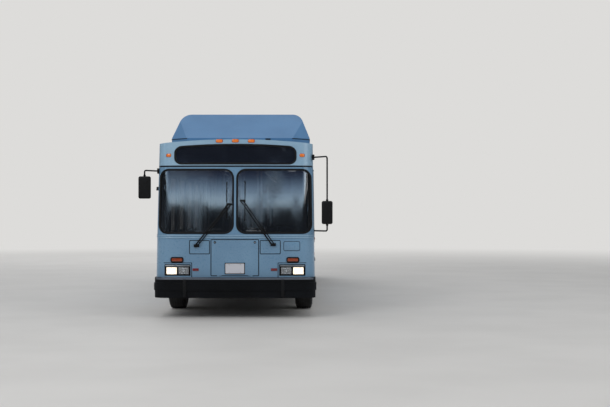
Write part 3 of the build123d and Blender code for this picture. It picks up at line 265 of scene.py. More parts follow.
def mirrored(piece, name=None):  # its twin on the other side of the bus
    twin = copied(piece, name)
    twin.data.transform(Matrix.Scale(-1, 4, (1, 0, 0)))
    editing(twin)
    bpy.ops.mesh.flip_normals()
    done()
    return twin


def joined(name, *pieces):
    clearPick()
    for piece in pieces:
        piece.select_set(True)
    bpy.context.view_layer.objects.active = pieces[0]
    if len(pieces) > 1:
        bpy.ops.object.join()
    made = bpy.context.object
    made.name = made.data.name = name
    return made


# (along, radius) points spun round an axis
def lathed(name, profile, centre=(0, 0, 0), axis="x", steps=48, loop=False):
    along, out = {"x": ((1, 0, 0), (0, 0, 1)), "y": ((0, 1, 0), (0, 0, 1)), "z": ((0, 0, 1), (1, 0, 0))}[axis]
    places = [Vector(centre) + Vector(along) * a + Vector(out) * r for a, r in profile]
    clearPick()
    bpy.ops.mesh.primitive_plane_add(size=1, location=places[0])
    piece = named(name)
    editing(piece)
    selectAll("VERT")
    bpy.ops.mesh.merge(type="CENTER")
    bpy.ops.mesh.select_all(action="SELECT")
    for start, end in zip(places, places[1:]):
        bpy.ops.mesh.extrude_vertices_move(TRANSFORM_OT_translate={"value": end - start})
    if loop:
        ends = places[0], places[-1]
        pick(lambda at, normal: min((at - end).length for end in ends) < 1e-5, "VERT")
        bpy.ops.mesh.edge_face_add()
    bpy.ops.mesh.select_all(action="SELECT")
    bpy.ops.mesh.spin(steps=steps, angle=2 * pi, center=centre, axis=along, use_auto_merge=True)
    bpy.ops.mesh.select_all(action="SELECT")
    bpy.ops.mesh.remove_doubles(threshold=0.00005)
    bpy.ops.mesh.normals_make_consistent(inside=False)
    done()
    return smooth(piece)


def tube(name, points, radius, bend=0.05, sides=2):  # a bar with rounded bends
    points = [Vector(p) for p in points]
    route = [points[0]]
    for before, corner, after in zip(points, points[1:], points[2:]):
        for place in (before, corner, after):
            way = place - corner
            route.append(corner + way.normalized() * min(bend, way.length * 0.45) if way.length else corner)
    route.append(points[-1])
    clearPick()
    bpy.ops.curve.primitive_nurbs_path_add()
    path = bpy.context.object
    path.data.splines.clear()
    spline = path.data.splines.new("NURBS")
    spline.points.add(len(route) - 1)
    for knot, place in zip(spline.points, route):
        knot.co = (*place, 1)
    spline.order_u = 3
    spline.use_endpoint_u = True
    spline.resolution_u = 3
    path.data.bevel_depth = radius
    path.data.bevel_resolution = sides
    path.data.use_fill_caps = True
    bpy.ops.object.convert(target="MESH")
    return smooth(named(name), 50)


def fromNode(name, node, angle=30):  # a welded copy of a CAD node, smooth where it is round
    piece = nodes[node].copy()
    piece.data = nodes[node].data.copy()
    piece.parent = None
    for key in list(piece.keys()):
        del piece[key]
    bpy.context.scene.collection.objects.link(piece)
    piece.name = piece.data.name = name
    editing(piece)
    bpy.ops.mesh.remove_doubles(threshold=0.00002)
    done()
    return smooth(piece, angle)


def rgb(code):  # a colour as it is seen, such as 708ca2, becomes the linear values that Blender takes
    parts = [int(code[i:i + 2], 16) / 255 for i in (0, 2, 4)]
    return tuple(p / 12.92 if p <= 0.04045 else ((p + 0.055) / 1.055) ** 2.4 for p in parts) + (1.0,)


class Signal:  # a node's output that can be used in sums
    def __init__(self, finish, socket):
        self.finish, self.socket = finish, socket

    def maths(self, operation, *values):
        return self.finish.node("ShaderNodeMath", {"operation": operation}, dict(enumerate(values)))

    def __add__(self, other):
        return self.maths("ADD", self, other)

    def __sub__(self, other):
        return self.maths("SUBTRACT", self, other)

    def __rsub__(self, other):
        return self.maths("SUBTRACT", other, self)

    def __mul__(self, other):
        return self.maths("MULTIPLY", self, other)


class Finish:  # one material, or the studio's world, and the nodes that it is made of
    def __init__(self, name, world=None):
        self.material = world or bpy.data.materials.new(name)
        self.material.use_nodes = True
        self.tree = self.material.node_tree
        self.tree.nodes.clear()
        self.place = self.node("ShaderNodeTexCoord", output="Generated" if world else "Object")

    def node(self, kind, settings=None, values=None, output=0):
        made = self.tree.nodes.new(kind)
        for key, value in (settings or {}).items():
            if key == "stops":
                for i, (where, colour) in enumerate(value):
                    stops = made.color_ramp.elements
                    stop = stops[i] if i < 2 else stops.new(where)
                    stop.position, stop.color = where, colour
            else:
                setattr(made, key, value)
        for key, value in (values or {}).items():
            if isinstance(value, Signal):
                self.tree.links.new(value.socket, made.inputs[key])
            else:
                made.inputs[key].default_value = value
        return Signal(self, made.outputs[output] if len(made.outputs) else None)

    def stretched(self, scale):  # object coordinates scaled along each axis
        return self.node("ShaderNodeMapping", values={"Vector": self.place, "Scale": scale})

    def noise(self, scale, detail=3.0, stretch=(1, 1, 1), rough=0.5):
        return self.node("ShaderNodeTexNoise", values={
            "Vector": self.stretched(stretch), "Scale": scale, "Detail": detail, "Roughness": rough})

    def cells(self, scale, stretch=(1, 1, 1), spread=1.0):
        return self.node("ShaderNodeTexVoronoi", values={
            "Vector": self.stretched(stretch), "Scale": scale, "Randomness": spread})

    def waves(self, scale, direction="X"):
        values = {"Vector": self.stretched((1, 1, 1)), "Scale": scale}
        return self.node("ShaderNodeTexWave", {"bands_direction": direction}, values, "Fac")

    def axis(self, letter):  # how far along x, y or z a point is
        return self.node("ShaderNodeSeparateXYZ", values={0: self.place}, output=letter)

    def between(self, value, low, high):  # 0 below low, 1 above high
        values = {"Value": value, "From Min": low, "From Max": high}
        return self.node("ShaderNodeMapRange", {"interpolation_type": "SMOOTHSTEP"}, values)

    def mix(self, share, a, b):
        return self.node("ShaderNodeMix", {"data_type": "RGBA"}, {0: share, 6: a, 7: b}, 2)

    def blend(self, share, a, b):  # two shaders
        return self.node("ShaderNodeMixShader", values={0: share, 1: a, 2: b})

    def bump(self, height, depth, strength=1.0):
        return self.node("ShaderNodeBump", values={"Height": height, "Distance": depth, "Strength": strength})

    def shaded(self, **values):
        spelled = {key.replace("_", " "): value for key, value in values.items()}
        surface = self.node("ShaderNodeBsdfPrincipled", values=spelled)
        self.node("ShaderNodeOutputMaterial", values={"Surface": surface})
        return self.material


# what a user may want to change: colours as seen, and how worn each finish is
coats = {  # colour, its shade, roughness, grime, grain per metre, the grain's depth in mm, what else differs
    "bodyPaint": ("6b90ae", "5f84a3", (0.27, 0.33), 0.16, 140, 0.25, dict(
        coat=0.35, dust=0.35, lining="a9a8a2", fittings="0e0f11")),
    # this lighter copy of the body's blue is painted light: a painted highlight for the sky light on the
    # raked header and on the nose ribs
    "litBodyPaint": ("8fb0c8", "82a3bc", (0.25, 0.32), 0.12, 140, 0.25, dict(coat=0.35)),
    "podPaint": ("4f7da9", "47749f", (0.34, 0.48), 0.12, 110, 0.3, dict(ior=1.32)),
    "roofPaint": ("8ea6b8", "8097a9", (0.35, 0.55), 0.5, 110, 0.4, dict(coat=0.1, lining="b7b6b0")),
    "blackPaint": ("0e0f11", "15161a", (0.3, 0.5), 0.22, 260, 0.12, dict(coat=0.1, dust=0.22)),
    "blackPlastic": ("08090b", "0e0f12", (0.5, 0.66), 0.18, 900, 0.2, dict(ior=1.3)),
    "bumperRubber": ("06080b", "0c0f14", (0.55, 0.75), 0.2, 520, 0.4, dict(dust=0.08, ior=1.22)),
    "gasketRubber": ("090a0c", "101114", (0.48, 0.66), 0.2, 420, 0.2, dict(ior=1.3)),
    "chromeTrim": ("c9ccd0", "aeb3b9", (0.08, 0.2), 0.12, 60, 0.05, dict(metal=1.0)),
    "satinMetal": ("a9aeb3", "8d9399", (0.28, 0.45), 0.25, 700, 0.08, dict(metal=1.0)),
    "trimMetal": ("767d88", "646b76", (0.3, 0.46), 0.3, 700, 0.08, dict(metal=1.0)),
    "castIron": ("2b2a2b", "3d3733", (0.6, 0.85), 0.6, 160, 1.2, dict(metal=0.55, dirt="6a5b4c")),
    "framePaint": ("1c1d1f", "2b2926", (0.5, 0.75), 0.6, 220, 0.4, dict(dirt="6a5f52")),
    "enginePaint": ("3a3d40", "2b2d30", (0.4, 0.65), 0.6, 180, 0.6, dict(metal=0.3)),
    "wheelSilver": ("b4b8bc", "93989d", (0.28, 0.5), 0.45, 300, 0.2, dict(metal=0.75, dirt="4c4640")),
    "innerPanel": ("b9b7b0", "a7a59e", (0.45, 0.6), 0.2, 600, 0.3, {}),
    "dashPlastic": ("1f2125", "2a2c31", (0.5, 0.68), 0.15, 800, 0.4, {}),
    "floorRubber": ("35363a", "43444a", (0.55, 0.75), 0.4, 240, 0.8, {}),
    "seatShell": ("262c3a", "303748", (0.4, 0.55), 0.15, 500, 0.3, {}),
    "blankPlate": ("c9cbd2", "b6b9c4", (0.35, 0.5), 0.25, 120, 0.3, {}),
    "signPanel": ("100d14", "17131b", (0.3, 0.45), 0.05, 100, 0.2, {}),
    "edgeStripe": ("c79a22", "a9842a", (0.5, 0.7), 0.4, 300, 0.5, {}),
}
glasses = {  # colour, how much is seen of it, the film of dust, its share, roughness, metal, ior
    "screenGlass": ("0d1218", 0.66, "7c8994", 0.10, 0.03, 0.0, 2.2),
    "sideGlass": ("0a0d11", 0.55, "8b8f92", 0.08, 0.05, 0.0, 1.8),
    "lampGlass": ("cfd6dc", 0.20, "a8a79f", 0.12, 0.04, 0.0, 1.52),
    "mirrorFace": ("c4cad0", 1.0, "9b9c9c", 0.10, 0.03, 1.0, 1.52),
}
lenses = {  # colour, colour in the depth, glow, moulded ribs per metre
    "amberLens": ("9c3c0a", "561c04", 0.06, 190), "warmLens": ("d8741f", "a8450c", 0.26, 150),
    "redLens": ("b0121a", "5c060c", 0.08, 170), "redReflector": ("7e1a22", "3c0a10", 0.0, 260),
    "amberReflector": ("c26018", "803608", 0.0, 260), "whiteLens": ("d9dcdf", "a4a9ae", 0.0, 150),
    "litLamp": ("fff4e2", "ffdcae", 1.5, 120), "cabinLight": ("e8ecee", "c9d0d4", 1.6, 60),
}
skinEdge = {  # where the shell's inner faces and its outer fittings begin, for the coats that tell them apart
    "inner": 1.262, "outer": 1.3035, "lean": 0.0157, "ceiling": 2.855, "crown": 0.0417,
    "noseRibs": (1.14, 1.15, 1.45, 1.46),
}


def shellColour(made, base, lining, fittings):  # the inner faces of the walls and roof, between the two caps
    x, y, z = (made.axis(letter) for letter in "XYZ")
    inner = skinEdge["inner"] - z * skinEdge["lean"]
    within = made.between(inner * inner - x * x, 0.0, 0.004)
    below = made.between(skinEdge["ceiling"] - x * x * skinEdge["crown"] - z, 0.0, 0.002)
    fore, aft = around(body["capFront"], 0.001), around(body["capRear"], 0.001)
    along = made.between(y, *fore) * (1 - made.between(y, *aft))
    base = made.mix(within * below * along, base, rgb(lining))
    if fittings:  # hinge brackets stand proud of the side walls, above and below the nose's ribs
        outer, ribs = skinEdge["outer"] - z * skinEdge["lean"], skinEdge["noseRibs"]
        ribs = made.between(z, *ribs[:2]) * (1 - made.between(z, *ribs[2:]))
        base = made.mix(made.between(x * x - outer * outer, 0.0, 0.004) * (1 - ribs), base, rgb(fittings))
    return base


def coatFinish(name, colour, shade, rough, grime, grain, depth, metal=0.0, coat=0.0, dust=0.0,
               dirt="57534c", lining=None, fittings=None, ior=1.5):
    made = Finish(name)
    patches = made.between(made.noise(1.6, 4), 0.35, 0.7)
    runs = made.between(made.noise(5, 5, (1, 1, 0.12)), 0.5, 0.82)  # dirt that rain has drawn down
    fine = made.noise(38, 4, rough=0.65)
    soil = runs * fine * grime
    if dust:  # road dust thrown up on what is low
        low = 1 - made.between(made.axis("Z"), 0.35, 1.15)
        soil = soil + low * low * made.between(made.noise(7, 5, (1, 1, 0.5)), 0.25, 0.75) * dust
    base = made.mix(patches * 0.8, rgb(colour), rgb(shade))
    if lining:
        base = shellColour(made, base, lining, fittings)
    values = dict(Metallic=metal, IOR=ior)
    values["Base_Color"] = made.mix(made.between(soil, 0.02, 1.0), base, rgb(dirt))
    values["Normal"] = made.bump(made.noise(grain, 2), depth / 1000 * 4, 0.6)
    values["Roughness"] = made.between(fine + soil, 0.3, 1.1) * (rough[1] - rough[0]) + rough[0]
    if coat:
        values["Coat_Weight"] = (1 - made.between(soil, 0.05, 0.5)) * coat
    return made.shaded(**values)


def glassFinish(name, colour, seen, film, filmShare, rough, metal, ior):
    made = Finish(name)
    smears = made.between(made.noise(3.2, 5, (1, 1, 0.35)), 0.45, 0.8) * made.noise(26, 3)
    dusty = made.between(made.noise(160, 2), 0.55, 0.75) * 0.12 + smears
    return made.shaded(
        Base_Color=made.mix(dusty * filmShare, rgb(colour), rgb(film)), Roughness=dusty * 0.16 + rough,
        Metallic=metal, Alpha=1.0 if seen == 1.0 else dusty * filmShare * 1.2 + seen, IOR=ior,
        Normal=made.bump(made.noise(0.9, 2), 0.001, 0.2),
    )


def lensFinish(name, colour, deep, glow, ribs):  # moulded ribs and small prisms behind clear plastic
    made = Finish(name)
    prisms = made.node("ShaderNodeTexChecker", values={"Vector": made.place, "Scale": ribs}, output="Fac")
    flutes = made.waves(ribs / 12)
    glaze = made.between(made.noise(30, 3), 0.3, 0.7)
    tone = made.mix(prisms * 0.35 + flutes * 0.4, rgb(colour), rgb(deep))
    return made.shaded(
        Base_Color=tone, Roughness=glaze * 0.12 + 0.1, Coat_Weight=0.6, Emission_Color=tone,
        Emission_Strength=glow, Normal=made.bump(flutes, 0.0012, 0.5),
    )


def tyreFinish(name):  # dusty black rubber
    made = Finish(name)
    dusty = made.between(made.noise(9, 5), 0.35, 0.8) * made.noise(70, 3)
    return made.shaded(
        Base_Color=made.mix(dusty * 0.7, rgb("151517"), rgb("3c3a37")), Roughness=dusty * 0.15 + 0.72,
        Normal=made.bump(made.noise(420, 3), 0.0008, 0.5),
    )


def clothFinish(name):  # a woven seat cloth with a generic small fleck
    made = Finish(name)
    yarn = made.waves(420, "Z") * 0.5 + made.waves(420, "X") * made.waves(420, "Y")
    tone = made.mix(made.between(made.cells(38), 0.12, 0.2), rgb("7b5a4a"), rgb("20304f"))
    worn = made.mix(made.between(made.noise(6, 4), 0.5, 0.8) * 0.4, tone, rgb("4a5368"))
    return made.shaded(Base_Color=worn, Roughness=0.88, Normal=made.bump(yarn, 0.0008, 0.7))


def signFinish(name, pitch=0.0165):  # the rows of small lights of a sign that is off
    made = Finish(name)
    spots = made.cells(1 / pitch, (1, 0, 1), 0.0)
    tone = made.mix(made.between(spots, 0.22, 0.34), rgb("3a2c18"), rgb("0b090d"))
    return made.shaded(Base_Color=tone, Roughness=0.42, Normal=made.bump(spots, 0.0015, 0.4))


finishes = {name: coatFinish(name, *look, **extras) for name, (*look, extras) in coats.items()}
for looks, maker in ((glasses, glassFinish), (lenses, lensFinish)):
    finishes.update({name: maker(name, *look) for name, look in looks.items()})
for name, maker in (("tyreRubber", tyreFinish), ("seatCloth", clothFinish), ("signDots", signFinish)):
    finishes[name] = maker(name)
print("finishes made:", len(finishes))


def painted(piece, finish):  # a part that will be joined to others keeps its own finish
    piece.data.materials.clear()
    piece.data.materials.append(finishes[finish])
    return piece


def together(name, finish, pieces):  # several parts that share one finish
    return painted(joined(name, *pieces), finish)


def settled(piece, rides="bus", replaces=()):  # the last step of each piece
    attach(piece, rides)
    if replaces:
        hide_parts(*replaces)
    return piece


def dressed(piece, finish, rides="bus", replaces=()):
    return settled(painted(piece, finish), rides, replaces)


shownNodes = {  # the CAD nodes that show as they are
    "bodyPaint": ("front_mask", "wall_left", "wall_right_mid", "wall_right_rear", "rear_wall", "front_hatch"),
    # the header panel takes the lighter copy of the body paint, a painted highlight
    "litBodyPaint": ("front_header",), "roofPaint": ("roof",), "podPaint": ("roof_fairing",),
    "screenGlass": ("front_glass",), "floorRubber": ("floor",), "innerPanel": ("wheel_boxes",),
    "castIron": ("knuckle_left", "knuckle_right", "tie_rod"), "sideGlass": ("window_panes",),
}
for finishName, shown in shownNodes.items():
    for nodeName in shown:
        painted(nodes[nodeName], finishName)
for door in ("front_door", "rear_door"):
    for leaf in ("_fore", "_aft"):
        painted(nodes[door + leaf], "blackPaint")
        painted(nodes[door + leaf + "_glass"], "sideGlass")
print("frame painted")

studio = {
    "floorColour": "c9c8c6", "floorRadius": 140, "floorFades": (9, 34), "backColour": "dddcda",
    "worldStrength": 0.55,
    "sky": [  # what glossy faces mirror: height of the direction, then colour
        (0.0, (0.12, 0.12, 0.13, 1)), (0.15, (0.04, 0.045, 0.055, 1)), (0.160, (0.05, 0.06, 0.07, 1)),
        (0.165, (2.3, 3.1, 3.8, 1)), (0.176, (1.05, 1.55, 2.2, 1)), (0.186, (0.23, 0.36, 0.63, 1)),
        (0.189, (0.11, 0.13, 0.26, 1)), (0.198, (0.05, 0.06, 0.10, 1)), (0.24, (0.03, 0.035, 0.05, 1)),
        (0.42, (0.5, 0.52, 0.56, 1)),
    ],
    "cameraPlace": (1.13, -25.1, 1.70), "cameraPitch": 0.43, "lens": 69.6, "seesTo": 400,
    "lamps": [  # name, place, aims at, width, watts
        ("keyLamp", (-9, -20, 13), (0, -5, 1.5), 9, 1000),
        ("fillLamp", (13, -14, 9), (0, -4, 1.5), 10, 430),
        ("topLamp", (0, 0, 16), (0, 0, 0), 14, 400),
        ("backLamp", (-6, 19, 11), (0, 4, 1.5), 10, 620),
    ],
}


def held(name, data, place):
    holder = bpy.data.objects.new(name, data)
    bpy.context.scene.collection.objects.link(holder)
    holder.location = place
    return holder


def studioFloor():  # a pale floor that fades into the background
    clearPick()
    bpy.ops.mesh.primitive_circle_add(vertices=96, radius=studio["floorRadius"], fill_type="NGON")
    ground, made = named("studioFloor"), Finish("studioFloor")
    mottle = made.between(made.noise(0.6, 4), 0.3, 0.7)
    colour = made.mix(mottle * 0.25, rgb(studio["floorColour"]), rgb(studio["backColour"]))
    near = made.node("ShaderNodeBsdfPrincipled", values={"Base Color": colour, "Roughness": 0.75})
    far = made.node("ShaderNodeEmission", values={"Color": rgb(studio["backColour"])})
    away = made.node("ShaderNodeVectorMath", {"operation": "LENGTH"}, {0: made.place}, "Value")
    surface = made.blend(made.between(away, *studio["floorFades"]), near, far)
    made.node("ShaderNodeOutputMaterial", values={"Surface": surface})
    ground.data.materials.append(made.material)


def studioWorld():  # glossy faces mirror a sky, the camera sees a plain background, the rest is even light
    made = Finish("studioWorld", bpy.data.worlds.new("studioWorld"))
    bpy.context.scene.world = made.material

    def rays(kind):
        return made.node("ShaderNodeLightPath", output=kind)

    def glow(colour, strength=1.0):
        return made.node("ShaderNodeBackground", values={"Color": colour, "Strength": strength})

    sky = made.node("ShaderNodeValToRGB", {"stops": studio["sky"]}, {0: made.axis("Z")})
    lit = made.blend(rays("Is Glossy Ray"), glow(rgb("ffffff"), studio["worldStrength"]), glow(sky))
    direct = rays("Is Camera Ray")
    seen = direct.maths("MAXIMUM", direct, rays("Is Transmission Ray"))
    surface = made.blend(seen, lit, glow(rgb(studio["backColour"])))
    made.node("ShaderNodeOutputWorld", values={"Surface": surface})


def studioLights():
    for name, place, aim, width, watts in studio["lamps"]:
        lamp = bpy.data.lights.new(name, "AREA")
        lamp.energy, lamp.size = watts, width
        toward = Vector(aim) - Vector(place)
        held(name, lamp, place).rotation_euler = toward.to_track_quat("-Z", "Y").to_euler()
    camera = held("photoCamera", bpy.data.cameras.new("photoCamera"), studio["cameraPlace"])
    camera.rotation_euler = (radians(90 + studio["cameraPitch"]), 0, 0)
    camera.data.lens, camera.data.clip_end = studio["lens"], studio["seesTo"]
    bpy.context.scene.camera = camera
    bpy.context.scene.view_settings.view_transform = "Standard"


studioFloor()
studioWorld()
studioLights()
print("studio ready")


front = {
    "paneZ": (1.357, 2.402), "paneInner": 0.023, "paneMargin": 0.032, "paneRadius": 0.155,
    "signHalf": 0.9875, "signZ": (2.482, 2.806), "signRadius": 0.12, "crownRise": 0.070,
    "gasketWidth": 0.030, "gasketGap": 0.006, "seamShadowZ": (2.436, 2.460),
    "ribs": [(1.286, 1.299), (1.318, 1.331)],
    "lamp": (0.926, 0.770), "lampHalfX": 0.2117, "lampHalfZ": 0.0927, "lensPitch": 0.196, "lensHalf": 0.084,
    "lensZ": (-0.068, 0.043), "signal": (0.934, 0.935), "signalHalfX": 0.1015, "signalHalfZ": 0.041,
    "reflector": (0.632, 0.777), "reflectorHalfX": 0.050, "reflectorHalfZ": 0.0225,
    "clearance": [  # middle, low, high, half width of the small lamps along the header
        (-0.260, 2.834, 2.884, 0.052), (0.0, 2.837, 2.887, 0.052), (0.260, 2.834, 2.884, 0.052),
        (-1.085, 2.602, 2.652, 0.038), (1.085, 2.602, 2.652, 0.038),
    ],
    "flapX": (0.792, 1.042), "flapZ": (1.086, 1.226), "panel": (0.570, 1.139),
    "recessX": 0.690, "recessZ": 0.8795, "hatchHalf": 0.377, "hatchZ": (0.684, 1.254),
    "latchX": 0.322, "latchZ": 1.216, "stripZ": (0.621, 0.655),
    "clampX": (-0.80, 0.775), "clampZ": (0.340, 0.622),
}
number = {"half": 0.151, "frontZ": (0.716, 0.876), "rearZ": (0.722, 0.862), "boltX": 0.09}  # the blank plates
bumperSkin = dict(body, frontFace=-6.221, halfWidth=1.301, lean=0.0, rake=0.0, cornerRadius=0.196)


def noseStrip(name, x, z, proud, depth, radius=0.0, edge=0.0, skin=body):
    return thick(onNose(inStrips(plate(name, x, z, radius)), proud, skin), depth, edge)


def noseRing(name, x, z, radius, width, proud, depth, tops=(0.0, 0.0), edge=0.0):
    ring = inStrips(hollowed(plate(name, x, z, radius, tops), width))
    return thick(onNose(ring, proud), depth, edge)


def crowned(piece, low, high):  # lower the outer parts of a flat outline as the roof's crown falls away
    for vertex in piece.data.vertices:
        share = min(1.0, max(0.0, (vertex.co.z - low) / (high - low)))
        vertex.co.z -= share * front["crownRise"] * (vertex.co.x / body["halfWidth"]) ** 2
    return piece


def screenSurrounds():
    gap, width = front["gasketGap"], front["gasketWidth"]
    z = grown(front["paneZ"], gap)
    edge = wallX(z[0]) - front["paneMargin"] + gap
    tops = 0.0, wallX(z[1]) - wallX(z[0])
    x = front["paneInner"] - gap, edge
    pane = noseRing("screenGasket", x, z, front["paneRadius"], width, gap, 0.015, tops, 0.002)
    x, z = around(0.0, front["signHalf"] + gap), grown(front["signZ"], gap)
    sign = crowned(inStrips(hollowed(plate("signGasket", x, z, front["signRadius"]), width)), *z)
    sign = thick(onNose(sign, gap), 0.015, 0.002)
    # The black header seam is partly the real joint under the header and partly painted shadow under the
    # header's overhanging edge.
    x = around(0.0, wallX(front["seamShadowZ"][0]) - 0.003)
    seam = noseStrip("headerSeamShadow", x, front["seamShadowZ"], 0.003, 0.008)
    dressed(joined("screenGasketsAndShadow", pane, mirrored(pane), sign, seam), "gasketRubber")


def signBox():  # a sign that is off, behind its window
    low, high = front["signZ"]
    x, z = around(0.0, front["signHalf"] + 0.03), (low - 0.01, high)
    back = thick(onNose(crowned(inStrips(plate("signBack", x, z, 0.10)), *z), -0.085), 0.004)
    x, z = around(0.0, 0.90), (low + 0.030, high - 0.068)
    lights = thick(onNose(inStrips(plate("signLights", x, z)), -0.062), 0.004)
    frame = inStrips(hollowed(plate("signFrame", grown(x, 0.02), grown(z, 0.02)), 0.02))
    frame = thick(onNose(frame, -0.054), 0.02, 0.003)
    sensor = noseStrip("signSensor", (0.762, 0.822), (2.700, 2.772), -0.020, 0.004, 0.008)
    parts = [painted(back, "signPanel"), painted(lights, "signDots"), painted(frame, "blackPlastic")]
    settled(joined("destinationSign", *parts, painted(sensor, "blankPlate")))


def noseSeams():  # the vent flap, and the dark lines round the panels and lamps
    x, z = front["flapX"], front["flapZ"]
    flap = noseStrip("ventFlap", x, z, 0.006, 0.008, 0.020, 0.003)
    dressed(flap, "bodyPaint")
    gap = noseRing("ventGap", grown(x, 0.009), grown(z, 0.009), 0.028, 0.007, 0.001, 0.003)
    x, z = front["recessX"], front["recessZ"]
    top = noseStrip("lampRecessTop", (x, 1.150), (z, z + 0.011), 0.001, 0.003)
    side = noseStrip("lampRecessSide", (x, x + 0.012), (front["stripZ"][1], z), 0.001, 0.003)
    holes, (x, z) = [], front["panel"]
    for middle in (-x, x):
        holes.append(noseStrip("panelLatch", around(middle, 0.014), (1.196, 1.224), 0.0012, 0.003, 0.0139))
    line = noseRing("panelLine", around(x, 0.168), around(z, 0.114), 0.020, 0.012, 0.0006, 0.003)
    twins = joined("recessLines", top, side), line
    half, (low, high) = front["hatchHalf"] + 0.014, front["hatchZ"]
    hatch = noseRing("hatchLine", (-half, half), (low - 0.012, high + 0.014), 0.018, 0.013, 0.0006, 0.003)
    # the two ribs under the screen take the lighter copy of the body paint, a painted highlight along them
    ribs = []
    for z in front["ribs"]:
        ribs.append(noseStrip("noseRib", around(0.0, wallX(z[0]) - 0.012), z, 0.0115, 0.008, 0.0, 0.003))
    dressed(joined("noseRibs", *ribs), "litBodyPaint")
    lines = [gap, hatch, *holes, *twins, *[mirrored(twin) for twin in twins]]
    dressed(joined("noseGaps", *lines), "gasketRubber")


def lampPlace(piece, place):  # bring a lamp drawn at the origin to its place on the swept front
    x, z = place
    return moved(moved(piece, turn=atan(body["bow"])), (x, noseY(x, 0.8), z))


def lampUnit():  # one headlamp housing drawn at the origin, the lit lamp on its outer side
    halfX, halfZ = front["lampHalfX"], front["lampHalfZ"]
    case = slab("lampCase", (-halfX, 0.0295, -halfZ), (halfX, 0.046, halfZ))
    rim = plate("lampRim", (-halfX, halfX), (-halfZ, halfZ), 0.022)
    rim = thick(hollowed(rim, 0.012), 0.036, 0.003)
    ledge = slab("lampLedge", (-halfX + 0.012, 0.004, 0.056), (halfX - 0.012, 0.030, 0.081), 0.006, 3)
    parts = [painted(case, "blackPlastic"), painted(rim, "blackPlastic"), painted(ledge, "satinMetal")]
    # The inner lamp's reflector bowl is painted black, a painted reflection of the dark surroundings its
    # chrome would mirror; the outer lamp is lit.
    for side, bowlLook, bulbLook in ((-1, "blackPaint", "chromeTrim"), (1, "litLamp", "litLamp")):
        x, half = side * front["lensPitch"] / 2, front["lensHalf"]
        frame = plate("lensFrame", around(x, half + 0.009), grown(front["lensZ"], 0.009), 0.016)
        frame = moved(thick(hollowed(frame, 0.009), 0.024, 0.002), (0, 0.004, 0))
        parts.append(painted(frame, "blackPlastic"))
        bowl = plate("lampBowl", around(x, half), front["lensZ"])
        editing(bowl)
        for width, sink in ((0.010, 0.006), (0.014, 0.006), (0.014, 0.003)):
            inset(width, (0, sink, 0))
        done()
        parts.append(painted(moved(smooth(bowl, 60), (0, 0.012, 0)), bowlLook))
        dome = [(0.0, 0.0), (0.002, 0.017), (0.010, 0.026), (0.016, 0.028)]
        parts.append(painted(lathed("lampBulb", dome, (x, 0.010, -0.012), "y", 32), bulbLook))
        if side < 0:
            for z in (-0.052, 0.028):
                bar = block("lampBar", (x, 0.018, z), (0.066, 0.004, 0.006), 0.003)
                parts.append(painted(bar, "chromeTrim"))
    return joined("headlampUnit", *parts)


def lensCover():  # the two clear lenses, bowed a little, with a moulded edge
    covers = []
    for side in (-1, 1):
        x = side * front["lensPitch"] / 2
        cover = plate("lensCover", around(x, front["lensHalf"]), front["lensZ"], 0.012)
        editing(cover)
        inset(0.006, (0, -0.003, 0))
        done()
        covers.append(moved(thick(cover, 0.003), (0, 0.0075, 0)))
    return joined("lensCovers", *covers)


def headlampSet():
    unit, lens = lampPlace(lampUnit(), front["lamp"]), lampPlace(lensCover(), front["lamp"])
    settled(joined("headlampUnits", unit, mirrored(unit)), replaces=("headlamps",))
    covers = joined("headlampCovers", lens, mirrored(lens))
    dressed(covers, "lampGlass", replaces=("headlamp_lenses",))


def signalSet():  # amber lamps in black bezels, and the small lamps along the header
    x, z = around(0.0, front["signalHalfX"]), around(0.0, front["signalHalfZ"])
    bezel = hollowed(plate("signalBezel", grown(x, 0.004), grown(z, 0.004), 0.032), 0.021)
    bezel = lampPlace(moved(thick(bezel, 0.018, 0.004), (0, -0.0175, 0)), front["signal"])
    dressed(joined("signalBezels", bezel, mirrored(bezel)), "blackPlastic")
    lens = thick(plate("signalLens", grown(x, -0.004), grown(z, -0.004), 0.024), 0.013, 0.005)
    lens = lampPlace(moved(lens, (0, -0.0135, 0)), front["signal"])
    parts = [painted(lens, "amberLens"), painted(mirrored(lens), "amberLens")]
    for x, low, high, half in front["clearance"]:
        radius = (high - low) * 0.45
        lamp = noseStrip("clearanceLamp", around(x, half), (low, high), 0.015, 0.040, radius, 0.009)
        z = low - 0.005, high + 0.004
        base = noseStrip("lampBase", around(x, half + 0.006), z, 0.004, 0.034, 0.024, 0.003)
        parts += [painted(lamp, "warmLens"), painted(base, "amberLens")]
    settled(joined("amberLamps", *parts), replaces=("marker_lamps",))
    x, z = front["reflector"]
    x, z = around(x, front["reflectorHalfX"]), around(z, front["reflectorHalfZ"])
    reflector = noseStrip("frontReflector", x, z, 0.007, 0.008, 0.008, 0.003)
    dressed(joined("frontReflectors", reflector, mirrored(reflector)), "redReflector")


def plateBolts(y, heights):
    bolts = []
    for x in around(0.0, number["boltX"]):
        for z in heights:
            bolts.append(drum("plateBolt", (x, y, z), 0.007, 0.006, "y", 0.0015, 12))
    return together("plateBolts", "satinMetal", bolts)


